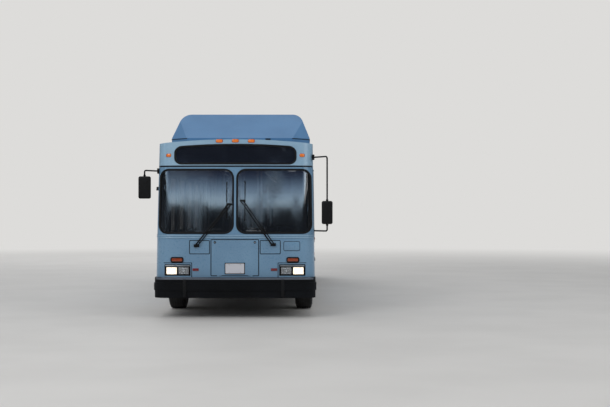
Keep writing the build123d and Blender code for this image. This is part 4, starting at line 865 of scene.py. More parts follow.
def hatchDetails():  # a blank number plate, its holder and the two latches, all on the hatch
    half, (low, high), y = number["half"], number["frontZ"], body["frontFace"]
    edge = half + 0.012
    holder = slab("plateHolder", (-edge, y - 0.007, low - 0.012), (edge, y + 0.001, high + 0.012), 0.003)
    sheet = plate("numberPlate", (-half, half), (low, high), 0.010)
    editing(sheet)
    inset(0.004, (0, -0.0015, 0))
    inset(0.003, (0, 0.001, 0))
    done()
    sheet = moved(thick(sheet, 0.002), (0, y - 0.0085, 0))
    bolts = plateBolts(y - 0.0105, (low + 0.016, high - 0.016))
    parts = [painted(holder, "blackPlastic"), painted(sheet, "blankPlate"), bolts]
    settled(joined("numberPlateSet", *parts), "front_hatch")
    latches, z = [], front["latchZ"]
    for x in around(0.0, front["latchX"]):
        dish = drum("latchDish", (x, y - 0.001, z), 0.020, 0.005, "y", 0.002, 24)
        pin = block("latchBar", (x, y - 0.0055, z), (0.014, 0.0025, 0.004), 0.002)
        latches += [painted(dish, "gasketRubber"), painted(pin, "satinMetal")]
    settled(joined("hatchLatches", *latches), "front_hatch")


def bumperTrim():
    skin = applied(softened(fromNode("bumperSet", "bumpers"), 0.010, 3), "WEIGHTED_NORMAL", keep_sharp=True)
    dressed(skin, "bumperRubber", replaces=("bumpers",))
    x = around(0.0, 1.294)
    strip = noseStrip("bumperStrip", x, front["stripZ"], 0.004, 0.010, 0.0, 0.002, bumperSkin)
    dressed(strip, "trimMetal")
    clamps = []
    for x in front["clampX"]:
        x = around(x, 0.026)
        clamps.append(noseStrip("bumperClamp", x, front["clampZ"], 0.017, 0.020, 0.0, 0.003, bumperSkin))
    dressed(joined("bumperClamps", *clamps), "blackPlastic")


screenSurrounds()
signBox()
noseSeams()
headlampSet()
signalSet()
hatchDetails()
bumperTrim()
print("front detailed")


wheel = {
    "x": 1.1095, "dual": 0.340, "tyreSteps": 120, "rimSteps": 60, "studs": 10, "studCircle": 0.143,
    "hubBolts": 8, "hubCircle": 0.083, "handHoles": (0.190, 0.222), "nut": 0.0175, "washer": 0.004,
    "shoulder": (0.505, 0.098),  # the cross grooves lie outside this radius and this far from the middle
    "treadRibs": [(0.112, 0.5255), (0.080, 0.5285), (0.042, 0.5295), (0.010, 0.530)],  # edge and radius
    "grooveDepth": 0.011, "grooveHalf": 0.0045,
    "wallShape": [  # from the bead up, as how far from the middle and radius
        (0.106, 0.2868), (0.118, 0.292), (0.136, 0.335), (0.1505, 0.392), (0.1525, 0.420), (0.1500, 0.440),
        (0.1512, 0.444), (0.1480, 0.456), (0.1400, 0.482), (0.1320, 0.504), (0.1240, 0.520),
    ],
}
# how far along the axle and radius of each corner of a rim
rimEdge = [(-0.110, 0.2862), (0.110, 0.2862), (0.113, 0.2835), (0.111, 0.276), (0.098, 0.270)]
frontDisc = [
    (0.088, 0.255), (0.072, 0.246), (0.063, 0.234), (0.064, 0.222), (0.074, 0.188), (0.081, 0.170),
    (0.082, 0.118), (0.086, 0.110), (0.120, 0.105), (0.132, 0.096), (0.136, 0.060), (0.139, 0.055),
    (0.140, 0.0005), (0.020, 0.0005), (0.020, 0.100), (0.050, 0.200), (0.040, 0.240), (-0.060, 0.255),
    (-0.095, 0.268),
]
rearDisc = [
    (0.080, 0.258), (-0.020, 0.250), (-0.044, 0.240), (-0.053, 0.222), (-0.057, 0.188), (-0.060, 0.170),
    (-0.060, 0.130), (-0.056, 0.124), (0.040, 0.117), (0.056, 0.108), (0.062, 0.070), (0.069, 0.064),
    (0.070, 0.0005), (-0.100, 0.0005), (-0.100, 0.160), (-0.085, 0.240), (-0.110, 0.262),
]
innerDisc = [
    (-0.110, 0.2862), (0.110, 0.2862), (0.110, 0.272), (0.060, 0.258), (0.045, 0.130), (0.030, 0.080),
    (-0.110, 0.080), (-0.110, 0.120), (0.010, 0.130), (0.025, 0.250), (-0.095, 0.266),
]


def treadProfile():  # half the section, from the bead up the wall and over the ribs to the middle
    half, ribs = list(wheel["wallShape"]), wheel["treadRibs"]
    deep, wide = wheel["grooveDepth"], wheel["grooveHalf"]
    for edge, radius in ribs[:-1]:
        middle = edge - 0.028 if edge > 0.1 else edge - 0.034
        top, foot = radius + 0.001, radius - deep
        half += [(edge, radius), (middle + wide, top), (middle + wide - 0.001, foot),
                 (middle - wide + 0.001, foot), (middle - wide, top)]
    half.append(ribs[-1])
    return [(-a, r) for a, r in half] + [(a, r) for a, r in reversed(half)]


def fromAxle(at, centre, steps):  # how far a point is from the axle, and which cell of the turning it is in
    y, z = at.y - centre[1], at.z - centre[2]
    return hypot(y, z), int(atan2(z, y) / (2 * pi) % 1.0 * steps)


def onCircle(x, centre, radius, turn):
    return x, centre[1] + radius * cos(turn), centre[2] + radius * sin(turn)


def tyrePiece(centre):
    tyre = lathed("tyrePiece", treadProfile(), centre, "x", wheel["tyreSteps"], loop=True)
    outer, side = wheel["shoulder"]
    editing(tyre)

    def crossGroove(at, normal):  # every third cell of the shoulder
        radius, cell = fromAxle(at, centre, wheel["tyreSteps"])
        return radius > outer and abs(at.x - centre[0]) > side and cell % 3 == 0

    pick(crossGroove)
    bpy.ops.mesh.extrude_region_shrink_fatten(TRANSFORM_OT_shrink_fatten={"value": -0.007})
    done()
    return smooth(painted(tyre, "tyreRubber"), 30)


def holesIn(rim, centre, sink):  # pushes dark hand holes into a wheel's disc
    inner, outer = wheel["handHoles"]
    editing(rim)

    def hand(at, normal):
        radius, cell = fromAxle(at, centre, wheel["rimSteps"])
        return inner < radius < outer and normal.x > 0.3 and cell % 6 in (0, 1)

    pick(hand)
    inset(0.003, (-sink, 0, 0))
    bpy.ops.mesh.inset(thickness=0.002)
    rim.data.materials.append(finishes["castIron"])
    rim.active_material_index = 1
    bpy.ops.object.material_slot_assign()
    done()
    return smooth(rim, 35)


def rimPiece(name, profile, centre):
    return painted(lathed(name, profile, centre, "x", wheel["rimSteps"], loop=True), "wheelSilver")


def rimWithNuts(rim, centre, face, high, cap):  # nuts on washers and studs, and bolts round the hub cap
    parts, flat = [], wheel["washer"]
    for i in range(wheel["studs"]):
        turn = 2 * pi * (i + 0.5) / wheel["studs"]
        x, y, z = onCircle(centre[0] + face, centre, wheel["studCircle"], turn)
        parts.append(drum("washer", (x + flat / 2, y, z), 0.0185, flat, "x", 0.0, 20))
        parts.append(drum("wheelNut", (x + flat / 2 + high / 2, y, z), wheel["nut"], high, "x", 0.002, 6))
        parts.append(drum("stud", (x + flat + high, y, z), 0.0095, 0.012, "x", 0.0015, 12))
    for i in range(wheel["hubBolts"]):
        place = onCircle(centre[0] + cap, centre, wheel["hubCircle"], 2 * pi * i / wheel["hubBolts"])
        parts.append(drum("hubBolt", place, 0.008, 0.010, "x", 0.0015, 6))
    return joined(rim.name, rim, together("wheelNuts", "satinMetal", parts))


def frontWheel(centre):
    rim = holesIn(rimPiece("frontRim", rimEdge + frontDisc, centre), centre, 0.016)
    return rimWithNuts(rim, centre, 0.082, 0.024, 0.134)


def rearWheel(centre):
    rim = holesIn(rimPiece("rearRim", rimEdge + rearDisc, centre), centre, 0.020)
    twin = rimPiece("innerRim", innerDisc, (centre[0] - wheel["dual"], *centre[1:]))
    return joined("rearRim", rimWithNuts(rim, centre, -0.060, 0.028, 0.060), twin)


def wheelSet():  # the left wheels are made, and the right ones are their mirrored copies
    for axle, end, many, maker in (("frontAxle", "f", "", frontWheel), ("rearAxle", "r", "s", rearWheel)):
        centre = (wheel["x"], body[axle], body["axleHeight"])
        tyre = tyrePiece(centre)
        if many:
            tyre = joined("tyrePair", tyre, copied(tyre, by=(-wheel["dual"], 0, 0)))
        kinds = (tyre, f"tyre{many}_{end}", "tyre_black"), (maker(centre), f"rim{many}_{end}", "wheel_silver")
        for side in "rl":
            for piece, node, slot in kinds:
                made = mirrored(piece) if side == "r" else piece
                made.name = made.data.name = node + side + "Detailed"
                settled(made, f"wheel_{end}{side}", (node + side,))


wheelSet()
print("wheels made")


fittings = {
    "mirrorY": -6.135, "tube": 0.0125, "tubeEnd": (1.240, -5.772), "footX": 1.262, "footTurn": 0.22,
    "kerb": (1.450, 0.098, 2.100, 0.180, (2.375,)),  # x, half width, middle, half height, arms
    "street": (1.486, 0.088, 1.697, 0.187, (1.400, 2.600)),
    "pivotX": 0.618, "armGap": 0.022, "clips": (0.03, 0.27, 0.5, 0.73, 0.97),
    "wipers": [  # side, pivot z, head x, head z, blade from, blade to
        (-1, 1.163, 0.084, 1.837, 1.600, 2.190),
        (1, 1.180, 0.110, 1.894, 1.560, 2.210),
    ],
}


def bar(name, start, end, width, depth, edge=0.002):  # a flat bar between two points
    a, b = Vector(start), Vector(end)
    piece = slab(name, (-width / 2, -depth / 2, 0), (width / 2, depth / 2, (b - a).length), edge)
    way = (b - a).normalized()
    across = (Vector((1, 0, 0)) - way * way.x).normalized()
    turn = Matrix((across, way.cross(across), way)).transposed().to_4x4()
    piece.data.transform(Matrix.Translation(a) @ turn)
    return piece


def mirrorArm(side, out, wide, middle, half, arms):
    x, y = side * out, fittings["mirrorY"]
    endX, endY = fittings["tubeEnd"]
    footX, footY = side * fittings["footX"], endY - 0.045
    rim = plate("mirrorRim", around(x, wide - 0.002), around(middle, half - 0.002), 0.026)
    parts = [block("mirrorShell", (x, y - 0.0025, middle), (wide, 0.0425, half), 0.030, 5),
             moved(thick(hollowed(rim, 0.014), 0.014, 0.003), (0, y + 0.034, 0))]
    for armZ in arms:
        up = 1 if armZ > middle else -1
        edge = middle + up * (half - 0.02)
        route = [(x, y, edge), (x, y, armZ), (side * endX, endY, armZ)]
        parts.append(tube("mirrorTube", route, fittings["tube"], 0.09, 3))
        parts.append(drum("mirrorCollar", (x, y, edge + up * 0.030), 0.020, 0.030, "z", 0.004, 24))
        foot = block("mirrorFoot", (footX, footY, armZ), (0.016, 0.045, 0.045), 0.012, 4)
        parts.append(moved(foot, turn=side * fittings["footTurn"], about=(footX, footY, armZ)))
    glass = block("mirrorGlass", (x, y + 0.04275, middle), (wide - 0.014, 0.00475, half - 0.014), 0.005, 3)
    return joined("mirrorArm", *parts), glass


def mirrorSet():
    arms, faces = zip(mirrorArm(-1, *fittings["kerb"]), mirrorArm(1, *fittings["street"]))
    dressed(joined("mirrorSet", *arms), "blackPlastic", replaces=("mirrors",))
    dressed(joined("mirrorFaces", *faces), "mirrorFace", replaces=("mirror_glass",))


def wiperSet():
    parts, rubbers, gap = [], [], fittings["armGap"]
    for side, pivotZ, headX, headZ, low, high in fittings["wipers"]:
        x, bladeX = side * fittings["pivotX"], side * (headX + 0.05)
        y, headY = noseY(x, pivotZ) - 0.034, noseY(headX, headZ) - 0.036
        parts.append(block("wiperBase", (x, y + 0.019, pivotZ), (0.044, 0.015, 0.024), 0.008, 3))
        for shift, width in ((-gap, 0.022), (gap, 0.016)):
            ends = (x + shift, y - 0.006, pivotZ), (side * headX + shift, headY, headZ)
            parts.append(bar("wiperArm", *ends, width, 0.009))
            for endX, endY, endZ in ends:
                parts.append(drum("wiperPivot", (endX, endY - 0.002, endZ), 0.013, 0.022, "y", 0.003, 20))
        middle = side * (headX + 0.010), headY + 0.001, headZ
        parts.append(block("wiperHead", middle, (0.040, 0.007, 0.012)))
        back, lip = ([(bladeX, noseY(bladeX, z) - out, z) for z in (low, high)] for out in (0.020, 0.004))
        parts.append(bar("wiperSpine", *back, 0.012, 0.008, 0.003))
        rubbers.append(bar("wiperRubber", *lip, 0.006, 0.022, 0.001))
        for share in fittings["clips"]:
            middle = Vector(back[0]).lerp(Vector(back[1]), share) + Vector((0, 0.003, 0))
            parts.append(block("wiperClip", middle, (0.009, 0.010, 0.011), 0.002))
    arms = together("wiperArms", "blackPlastic", parts)
    rubber = together("wiperRubbers", "gasketRubber", rubbers)
    settled(joined("wiperSet", arms, rubber), replaces=("wipers",))


mirrorSet()
wiperSet()
print("mirrors and wipers made")


sides = {
    "windows": [  # side, centre, width, sill
        (1, -5.220, 0.800, 1.210),
        *[(1, -4.670 + 1.570 * (i + 0.5), 1.478, 1.330) for i in range(6)],
        *[(-1, -4.774 + 1.5445 * (i + 0.5), 1.4525, 1.330) for i in range(4)],
        *[(-1, 2.596 + 1.077 * (i + 0.5), 0.985, 1.330) for i in range(2)],
    ],
    "head": 2.350, "frame": 0.032, "transom": 0.72, "latches": (0.22, 0.78),
    "arches": [(body["frontAxle"], 0.650), (body["rearAxle"], 0.610)], "lipWidth": 0.034, "lipFoot": 0.335,
    "line": (-5.640, 5.860), "rail": (0.900, 0.940), "railEnd": 4.46, "skirtBand": (0.352, 0.364),
    "gutterY": (-5.60, 5.80), "gutter": (2.386, 2.404),
    "seams": [-3.30, -1.90, -0.50, 0.90, 2.62, 4.05, 5.30], "seamHalf": 0.0035,
    "seamFoot": 0.36, "seamTop": 1.22, "capTop": 2.40,
    "markers": [-4.722, -0.02, 4.80], "markerZ": 1.248, "reflectorZ": 1.005,
    "reflectors": {1: -5.20, -1: -4.74}, "rearReflector": 5.45,
    "doors": [(-5.690, -4.810), (1.440, 2.560)],
    "leaves": [  # node, jamb, way along the wall, width
        ("front_door_fore", -5.680, 1, 0.4255), ("front_door_aft", -4.820, -1, 0.4255),
        ("rear_door_fore", 1.450, 1, 0.5455), ("rear_door_aft", 2.550, -1, 0.5455),
    ],
    "lights": [(0.640, 1.150), (1.210, 2.350)],
}


def wallPiece(piece, side, proud, depth, edge):
    return onWall(thick(piece, depth, edge), side, proud)


def wallPlate(name, side, y, z, radius):  # drawn facing the front, where x stands for y
    return plate(name, sorted((side * y[0], side * y[1])), z, radius)


def wallStrip(name, side, y, z, proud, depth, radius=0.0, edge=0.0):
    return wallPiece(wallPlate(name, side, y, z, radius), side, proud, depth, edge)


def wallRing(name, side, y, z, width, proud, depth, radius=0.0, edge=0.0):
    return wallPiece(hollowed(wallPlate(name, side, y, z, radius), width), side, proud, depth, edge)


def windowTrims():  # rubber round the frames and panes, a lip on the transom and two latches under it
    rubber, metal, frame = [], [], sides["frame"]
    for side, centre, width, sill in sides["windows"]:
        y, z = around(centre, width / 2), (sill, sides["head"])
        seal = grown(y, 0.006), grown(z, 0.006)
        rubber.append(wallRing("windowSeal", side, *seal, 0.010, 0.007, 0.012, 0.024, 0.002))
        bar, inner = z[0] + (z[1] - z[0]) * sides["transom"], grown(y, -frame)
        for pane in ((z[0] + frame, bar - 0.013), (bar + 0.013, z[1] - frame)):
            seal = grown(inner, 0.004), grown(pane, 0.004)
            rubber.append(wallRing("paneSeal", side, *seal, 0.012, -0.001, 0.010, 0.014, 0.002))
        metal.append(wallStrip("transomLip", side, inner, around(bar, 0.005), 0.005, 0.010, 0.0, 0.002))
        for share in sides["latches"]:
            place = around(y[0] + width * share, 0.034), around(bar - 0.039, 0.009)
            metal.append(wallStrip("paneLatch", side, *place, 0.001, 0.010, 0.008, 0.003))
    dressed(joined("windowSeals", *rubber), "gasketRubber")
    dressed(joined("windowMetal", *metal), "satinMetal")
    frames = softened(fromNode("windowFrames", "window_frames"), 0.003)
    dressed(frames, "blackPaint", replaces=("window_frames",))


def archLip(side, axle, radius):  # the rubber lip round a wheel arch, drawn as a half ring with two legs
    axleZ, grow = body["axleHeight"], (radius + sides["lipWidth"]) / radius
    middle = side * axle, 0, axleZ
    clearPick()
    bpy.ops.mesh.primitive_circle_add(vertices=64, radius=radius, rotation=(pi / 2, 0, 0), location=middle)
    piece = named("archLip")
    editing(piece)
    selectAll("EDGE")
    bpy.ops.mesh.extrude_edges_move()
    bpy.ops.transform.resize(value=(grow, 1, grow), center_override=middle)
    pick(lambda at, normal: at.z < axleZ - 0.005)
    bpy.ops.mesh.delete(type="FACE")
    pick(lambda at, way: abs(at.z - axleZ) < 0.001 and abs(way.x) > 0.99, "EDGE")
    legs = {"value": (0, 0, sides["lipFoot"] - axleZ)}
    bpy.ops.mesh.extrude_edges_move(TRANSFORM_OT_translate=legs)
    bpy.ops.mesh.select_all(action="SELECT")
    bpy.ops.mesh.normals_make_consistent(inside=False)
    done()
    if sum(face.normal.y for face in piece.data.polygons) > 0:
        editing(piece)
        bpy.ops.mesh.flip_normals()
        done()
    return wallPiece(piece, side, 0.009, 0.020, 0.004)


def stretches(start, end, breaks):  # what is left of a line along the wall between the breaks
    ends = [start, *[y for part in breaks for y in part], end]
    return list(zip(ends[::2], ends[1::2]))


def trimLines(side):  # the stretches of trim along one wall, which arches, doors and the side grille break
    lines, arches = [], [around(y, radius + sides["lipWidth"]) for y, radius in sides["arches"]]
    for start, end in stretches(*sides["line"], arches):
        within = [door for door in sides["doors"] if side < 0 and start < sum(door) / 2 < end]
        for a, b in stretches(start, end, within):
            if b - a > 0.12:
                lines.append((a, sides["railEnd"] if side > 0 and end == sides["line"][1] else b))
    return lines


def wallTrims():
    lips, lines, rails, gutters = [], [], [], []
    foot, half = sides["seamFoot"], sides["seamHalf"]
    for side in (-1, 1):
        lips += [archLip(side, axle, radius) for axle, radius in sides["arches"]]
        for y in trimLines(side):
            rails.append(wallStrip("rubRail", side, y, sides["rail"], 0.013, 0.018, 0.0, 0.006))
            rails.append(wallStrip("skirtEdge", side, y, sides["skirtBand"], 0.002, 0.006, 0.0, 0.002))
        seams = [(body["capFront"], sides["capTop"]), (body["capRear"], sides["capTop"])]
        for y in sides["seams"]:
            if side > 0 or not any(a < y < b for a, b in sides["doors"]):
                seams.append((y, sides["seamTop"]))
        for y, top in seams:
            lines.append(wallStrip("wallSeam", side, around(y, half), (foot, top), 0.0010, 0.003))
        gutters.append(wallStrip("gutter", side, sides["gutterY"], sides["gutter"], 0.012, 0.016, 0.0, 0.004))
    dressed(joined("archLips", *lips), "gasketRubber")
    dressed(joined("wallLines", *lines), "gasketRubber")
    dressed(joined("rubRails", *rails), "blackPlastic")
    dressed(joined("gutters", *gutters), "bodyPaint")


def sideMarkers():
    parts, z = [], sides["markerZ"]
    for side in (-1, 1):
        for y in sides["markers"]:
            spans = around(y, 0.045), around(z, 0.026)
            base = wallStrip("markerBase", side, *spans, 0.010, 0.012, 0.012, 0.003)
            spans = around(y, 0.038), around(z, 0.019)
            lens = wallStrip("markerLens", side, *spans, 0.022, 0.014, 0.010, 0.006)
            parts += [painted(base, "blackPlastic"), painted(lens, "redLens" if y > 3 else "amberLens")]
        reflectors = (sides["reflectors"][side], "amberReflector"), (sides["rearReflector"], "redReflector")
        for y, look in reflectors:
            spans = around(y, 0.040), around(sides["reflectorZ"], 0.020)
            reflector = wallStrip("sideReflector", side, *spans, 0.007, 0.008, 0.008, 0.003)
            parts.append(painted(reflector, look))
    settled(joined("sideLamps", *parts))


def doorTrims():  # seals round the lights, a rubber edge where two leaves meet, and a handrail inside
    for node, jamb, way, width in sides["leaves"]:
        def span(start, end):  # from and to along the wall, measured from the leaf's jamb
            return sorted((jamb + way * start, jamb + way * end))

        seals, y = [], grown(span(0.068, width - 0.0665), 0.006)
        for light in sides["lights"]:
            seals.append(wallRing("lightSeal", -1, y, grown(light, 0.006), 0.016, 0.003, 0.014, 0.020, 0.002))
        y = span(width - 0.030, width - 0.0005)
        seals.append(wallStrip("leafEdge", -1, y, (0.356, 2.416), 0.004, 0.008, 0.0, 0.002))
        y = span(0.012, width - 0.012)
        seals.append(wallStrip("leafFoot", -1, y, (0.352, 0.392), 0.003, 0.006, 0.0, 0.002))
        y = jamb + way * (width - 0.085)
        route = [(-1.221, y, 1.02), (-1.145, y, 1.02), (-1.145, y, 1.74), (-1.195, y, 1.74)]
        rail = painted(tube("leafRail", route, 0.013, 0.06, 3), "satinMetal")
        rubber = together("leafSeals", "gasketRubber", seals)
        settled(joined("leafTrim_" + node, rubber, rail), node)


windowTrims()
wallTrims()
sideMarkers()
doorTrims()
print("sides detailed")


rear = {
    "face": 6.105, "lampX": 1.165, "lampRadius": 0.052, "reverseZ": 1.010,
    "roundLamps": [(1.290, "redLens"), (1.150, "amberLens")],  # height and look
    "highX": 0.900, "highHalf": 0.150, "highZ": (2.700, 2.745),
    "reflectorX": 1.110, "reflectorZ": (0.800, 1.460),
    "louvreX": (0.040, 0.880), "louvreZ": (0.880, 1.480), "latchX": 0.86, "latchZ": 0.79,
    "seamHalf": 0.003, "seamX": 1.165, "panelZ": (1.760, 2.090), "cornerX": 1.085, "cornerZ": (0.66, 2.66),
    "roofSeams": [-4.95, 4.15], "podSeams": [-3.80, -2.55, -1.30, -0.05, 1.20, 2.45, 3.24],
    "podLatches": [-3.5, -2.85, -2.25, -1.6, -1.0, -0.35, 0.25, 0.9, 1.5, 2.15, 2.75],
    "podFoot": (1.213, 3.000), "podSlope": 0.178 / 0.460, "podShadeZ": 2.978, "podNose": (0.91, -4.60),
    "lidY": 5.000, "lidHalf": 0.318, "lidTop": 2.902, "lidRibX": 0.17,
    "ventX": 0.62, "ventY": 5.35, "stack": (-0.95, 5.55, 2.845),
}
stackShape = [(0.0, 0.045), (0.085, 0.045), (0.095, 0.052), (0.105, 0.052), (0.105, 0.046), (0.02, 0.040)]


def onRear(piece, proud=0.0):
    return moved(piece, (0, rear["face"] + proud, 0), pi)


def rearStrip(name, x, z, proud, depth, radius=0.0, edge=0.0):
    return onRear(thick(plate(name, (-x[1], -x[0]), z, radius), depth, edge), proud)


def rearRing(name, x, z, radius, width, proud, depth, edge=0.002):
    return onRear(thick(hollowed(plate(name, (-x[1], -x[0]), z, radius), width), depth, edge), proud)


def roundLamp(x, z, look):
    r, place = rear["lampRadius"], (x, rear["face"], z)
    dome = [(0.0, r), (0.013, r), (0.0185, r - 0.004), (0.0205, r - 0.012), (0.0215, r - 0.030), (0.022, 0.0)]
    back, inner, outer = -0.030, r + 0.001, r + 0.010
    ring = [(back, outer), (0.010, outer), (0.015, r + 0.006), (0.015, inner), (back, inner), (back, outer)]
    bezel = lathed("lampBezel", ring, place, "y", 40)
    return [painted(lathed("roundLens", dome, place, "y", 40), look), painted(bezel, "blackPlastic")]


def squareLamp(x, z, look, radius):
    lens = rearStrip("squareLens", x, z, 0.021, 0.020, radius, 0.006)
    bezel = rearRing("lampFrame", grown(x, 0.010), grown(z, 0.010), radius + 0.006, 0.0095, 0.014, 0.040)
    return [painted(lens, look), painted(bezel, "blackPlastic")]


def rearLamps():
    parts, r = [], rear["lampRadius"]
    for side in (-1, 1):
        x = side * rear["lampX"]
        for z, look in rear["roundLamps"]:
            parts += roundLamp(x, z, look)
        parts += squareLamp(around(x, r), around(rear["reverseZ"], r), "whiteLens", 0.012)
        parts += squareLamp(around(side * rear["highX"], rear["highHalf"]), rear["highZ"], "redLens", 0.010)
        x = around(side * rear["reflectorX"], 0.036)
        for z in rear["reflectorZ"]:
            reflector = rearStrip("rearReflector", x, around(z, 0.022), 0.008, 0.009, 0.006, 0.003)
            parts.append(painted(reflector, "redReflector"))
    settled(joined("rearLampSet", *parts), replaces=("tail_lamps",))


def engineDoorDetails():  # louvre frames, a blank number plate in its holder, and two paddle latches
    door = softened(fromNode("engineDoorPanel", "engine_door"), 0.0015, 1, 50)
    applied(door, "WEIGHTED_NORMAL", keep_sharp=True)
    dressed(door, "bodyPaint", "engine_door", ("engine_door",))
    louvre, z = grown(rear["louvreX"], 0.014), grown(rear["louvreZ"], 0.014)
    twins = louvre, (-louvre[1], -louvre[0])
    frames = [rearRing("louvreFrame", x, z, 0.020, 0.020, 0.005, 0.010) for x in twins]
    x, z = around(0.0, number["half"]), number["rearZ"]
    black = [rearStrip("rearPlateHolder", grown(x, 0.012), grown(z, 0.012), 0.006, 0.007, 0.012, 0.002)]
    sheet = plate("rearPlate", x, z, 0.010)
    editing(sheet)
    inset(0.005, (0, -0.0015, 0))
    done()
    sheet = painted(onRear(thick(sheet, 0.002), 0.0075), "blankPlate")
    bolts = plateBolts(rear["face"] + 0.0105, (z[1] - 0.014,))
    paddles, z = [], rear["latchZ"]
    for x in around(0.0, rear["latchX"]):
        pan, grip = (around(x, 0.060), around(z, 0.040)), (around(x, 0.044), (z - 0.026, z + 0.018))
        black.append(rearStrip("paddlePan", *pan, 0.003, 0.006, 0.014, 0.002))
        paddles.append(rearStrip("paddle", *grip, 0.011, 0.009, 0.010, 0.003))
    frames = together("louvreFrames", "bodyPaint", frames)
    black = together("rearBlack", "blackPlastic", black)
    paddles = together("paddles", "satinMetal", paddles)
    parts = joined("engineDoorFittings", frames, black, sheet, bolts, paddles)
    settled(parts, "engine_door")


def sliced(name, node, axis, at, half, proud):  # a thin band of a CAD skin, lifted a little off it
    normal = [float(axis == letter) for letter in "xyz"]
    piece = fromNode(name, node)
    editing(piece)
    for way in (-1, 1):
        bpy.ops.mesh.select_all(action="SELECT")
        place = [n * (at + way * half) for n in normal]
        bpy.ops.mesh.bisect(plane_co=place, plane_no=normal, clear_inner=way < 0, clear_outer=way > 0)
    bpy.ops.mesh.select_all(action="SELECT")
    bpy.ops.transform.shrink_fatten(value=proud)
    done()
    return thick(piece, 0.004)


def rearLines():
    half, (noseX, noseBack) = rear["seamHalf"], rear["podNose"]
    seams = [(around(0.0, rear["seamX"]), around(z, half)) for z in rear["panelZ"]]
    seams += [(around(x, half), rear["cornerZ"]) for x in around(0.0, rear["cornerX"])]
    lines = [rearStrip("rearSeam", x, z, 0.001, 0.003) for x, z in seams]
    lines += [sliced("roofSeam", "roof", "y", y, 0.004, 0.0012) for y in rear["roofSeams"]]
    lines += [sliced("podSeam", "roof_fairing", "y", y, 0.004, 0.0006) for y in rear["podSeams"]]
    # A black band lifted off the pod's side lips is painted shade, standing for the shadow on the lip under
    # each facet.
    lip = sliced("podShadeBand", "roof_fairing", "z", rear["podShadeZ"], 0.006, 0.005)
    editing(lip)
    pick(lambda at, normal: abs(at.x) < noseX and at.y < noseBack)  # the painted shade is left off the pod's lit front lip
    bpy.ops.mesh.delete(type="FACE")
    done()
    slot = block("podSlot", (0.490, -4.718, 2.9655), (0.045, 0.006, 0.0125), 0.003)
    dressed(joined("shellLinesAndShade", *lines, lip, slot), "gasketRubber")
    grille = softened(fromNode("grilleSet", "grilles"), 0.0015, 1, 50)
    dressed(grille, "blackPaint", replaces=("grilles",))


def podLatches():  # along both feet of the pod, leaning with its sides
    latches, slope = [], rear["podSlope"]
    footX, footZ = rear["podFoot"]
    for side in (-1, 1):
        for y in rear["podLatches"]:
            at = side * (footX - 0.055 * slope), y, footZ + 0.055
            latch = block("podLatch", at, (0.006, 0.035, 0.022))
            latches.append(moved(latch, turn=-side * atan(slope), axis="Y", about=at))
    return latches


def roofDetails():  # pod latches, the hatch's seal, ribs and handle, two vents and the exhaust stack
    y, half = rear["lidY"], rear["lidHalf"]
    handleY = y - 0.27
    seal = thick(hollowed(plate("lidSeal", around(0.0, half), around(y, half), 0.066), 0.016), 0.040, 0.004)
    for vertex in seal.data.vertices:
        x, low, along = vertex.co
        vertex.co = (x, along, rear["lidTop"] - low)
    blue = [block("lidRib", (x, y, 2.932), (0.020, 0.24, 0.006), 0.005) for x in around(0.0, rear["lidRibX"])]
    route = [(-0.07, handleY, 2.924), (-0.07, handleY, 2.958), (0.07, handleY, 2.958), (0.07, handleY, 2.924)]
    black, y = [seal, tube("lidHandle", route, 0.008, 0.03)], rear["ventY"]
    for x in around(0.0, rear["ventX"]):
        blue.append(block("roofVent", (x, y, 2.890), (0.17, 0.13, 0.035), 0.030, 4))
        black.append(block("ventMouth", (x, y + 0.12825, 2.894), (0.14, 0.00425, 0.014), 0.003))
    x, y, z = rear["stack"]
    metal = [*podLatches(), lathed("exhaustStack", stackShape, (x, y, z), "z", 32)]
    black.append(drum("stackSoot", (x, y, z + 0.030), 0.042, 0.010, "z", 0.0, 32))
    parts = [together("roofMetal", "satinMetal", metal), together("roofBlack", "blackPlastic", black)]
    settled(joined("roofFittings", *parts, together("roofBlue", "bodyPaint", blue)))


rearLamps()
engineDoorDetails()
rearLines()
roofDetails()
print("rear and roof detailed")


inside = {
    "pair": 0.860, "depth": 0.440, "lean": 0.080, "seatHeight": 0.430, "backHeight": 0.960,
    "rows": [(1, -3.355, 6, 0.390), (-1, -3.355, 5, 0.390), (1, 3.985, 1, 0.850), (-1, 3.985, 1, 0.850)],
    "pitch": 0.770, "pairX": 0.756, "bench": (0.661, body["rearAxle"], 1.165), "benchWidth": 0.900,
    "benchHeight": 0.110, "rearBench": (0, 4.900, 1.180), "rearBenchWidth": 2.312,
    "driver": (0.710, -5.380, 0.560), "driverWidth": 0.480, "driverHeight": 0.400,
    "wheel": (0.710, -5.530, 1.360), "wheelRadius": 0.235, "wheelTilt": 28,
    "dials": [(-0.15, 0.052), (-0.03, 0.062), (0.10, 0.062), (0.20, 0.038)],  # place and radius
    "dialPlace": (-5.735, 1.274), "dialTilt": 50, "switches": 9, "farebox": (0.290, -5.590, 1.328),
    "railY": (-4.10, 4.70), "railX": 0.300, "railZ": (2.430, 2.815), "stanchions": [-4.415, -2.615, 1.300],
    "hangers": (-2.6, -1.1, 0.4, 1.9, 3.4), "collars": (0.405, 2.36), "loops": 9, "loopPitch": 0.88,
    "lights": 7, "lightX": 0.80, "lightY": -4.9, "lightPitch": 1.40,
    "steps": [(2.360, 0.620), (2.580, 0.850)], "doorways": [(-5.62, -4.88), (1.50, 2.50)],
}


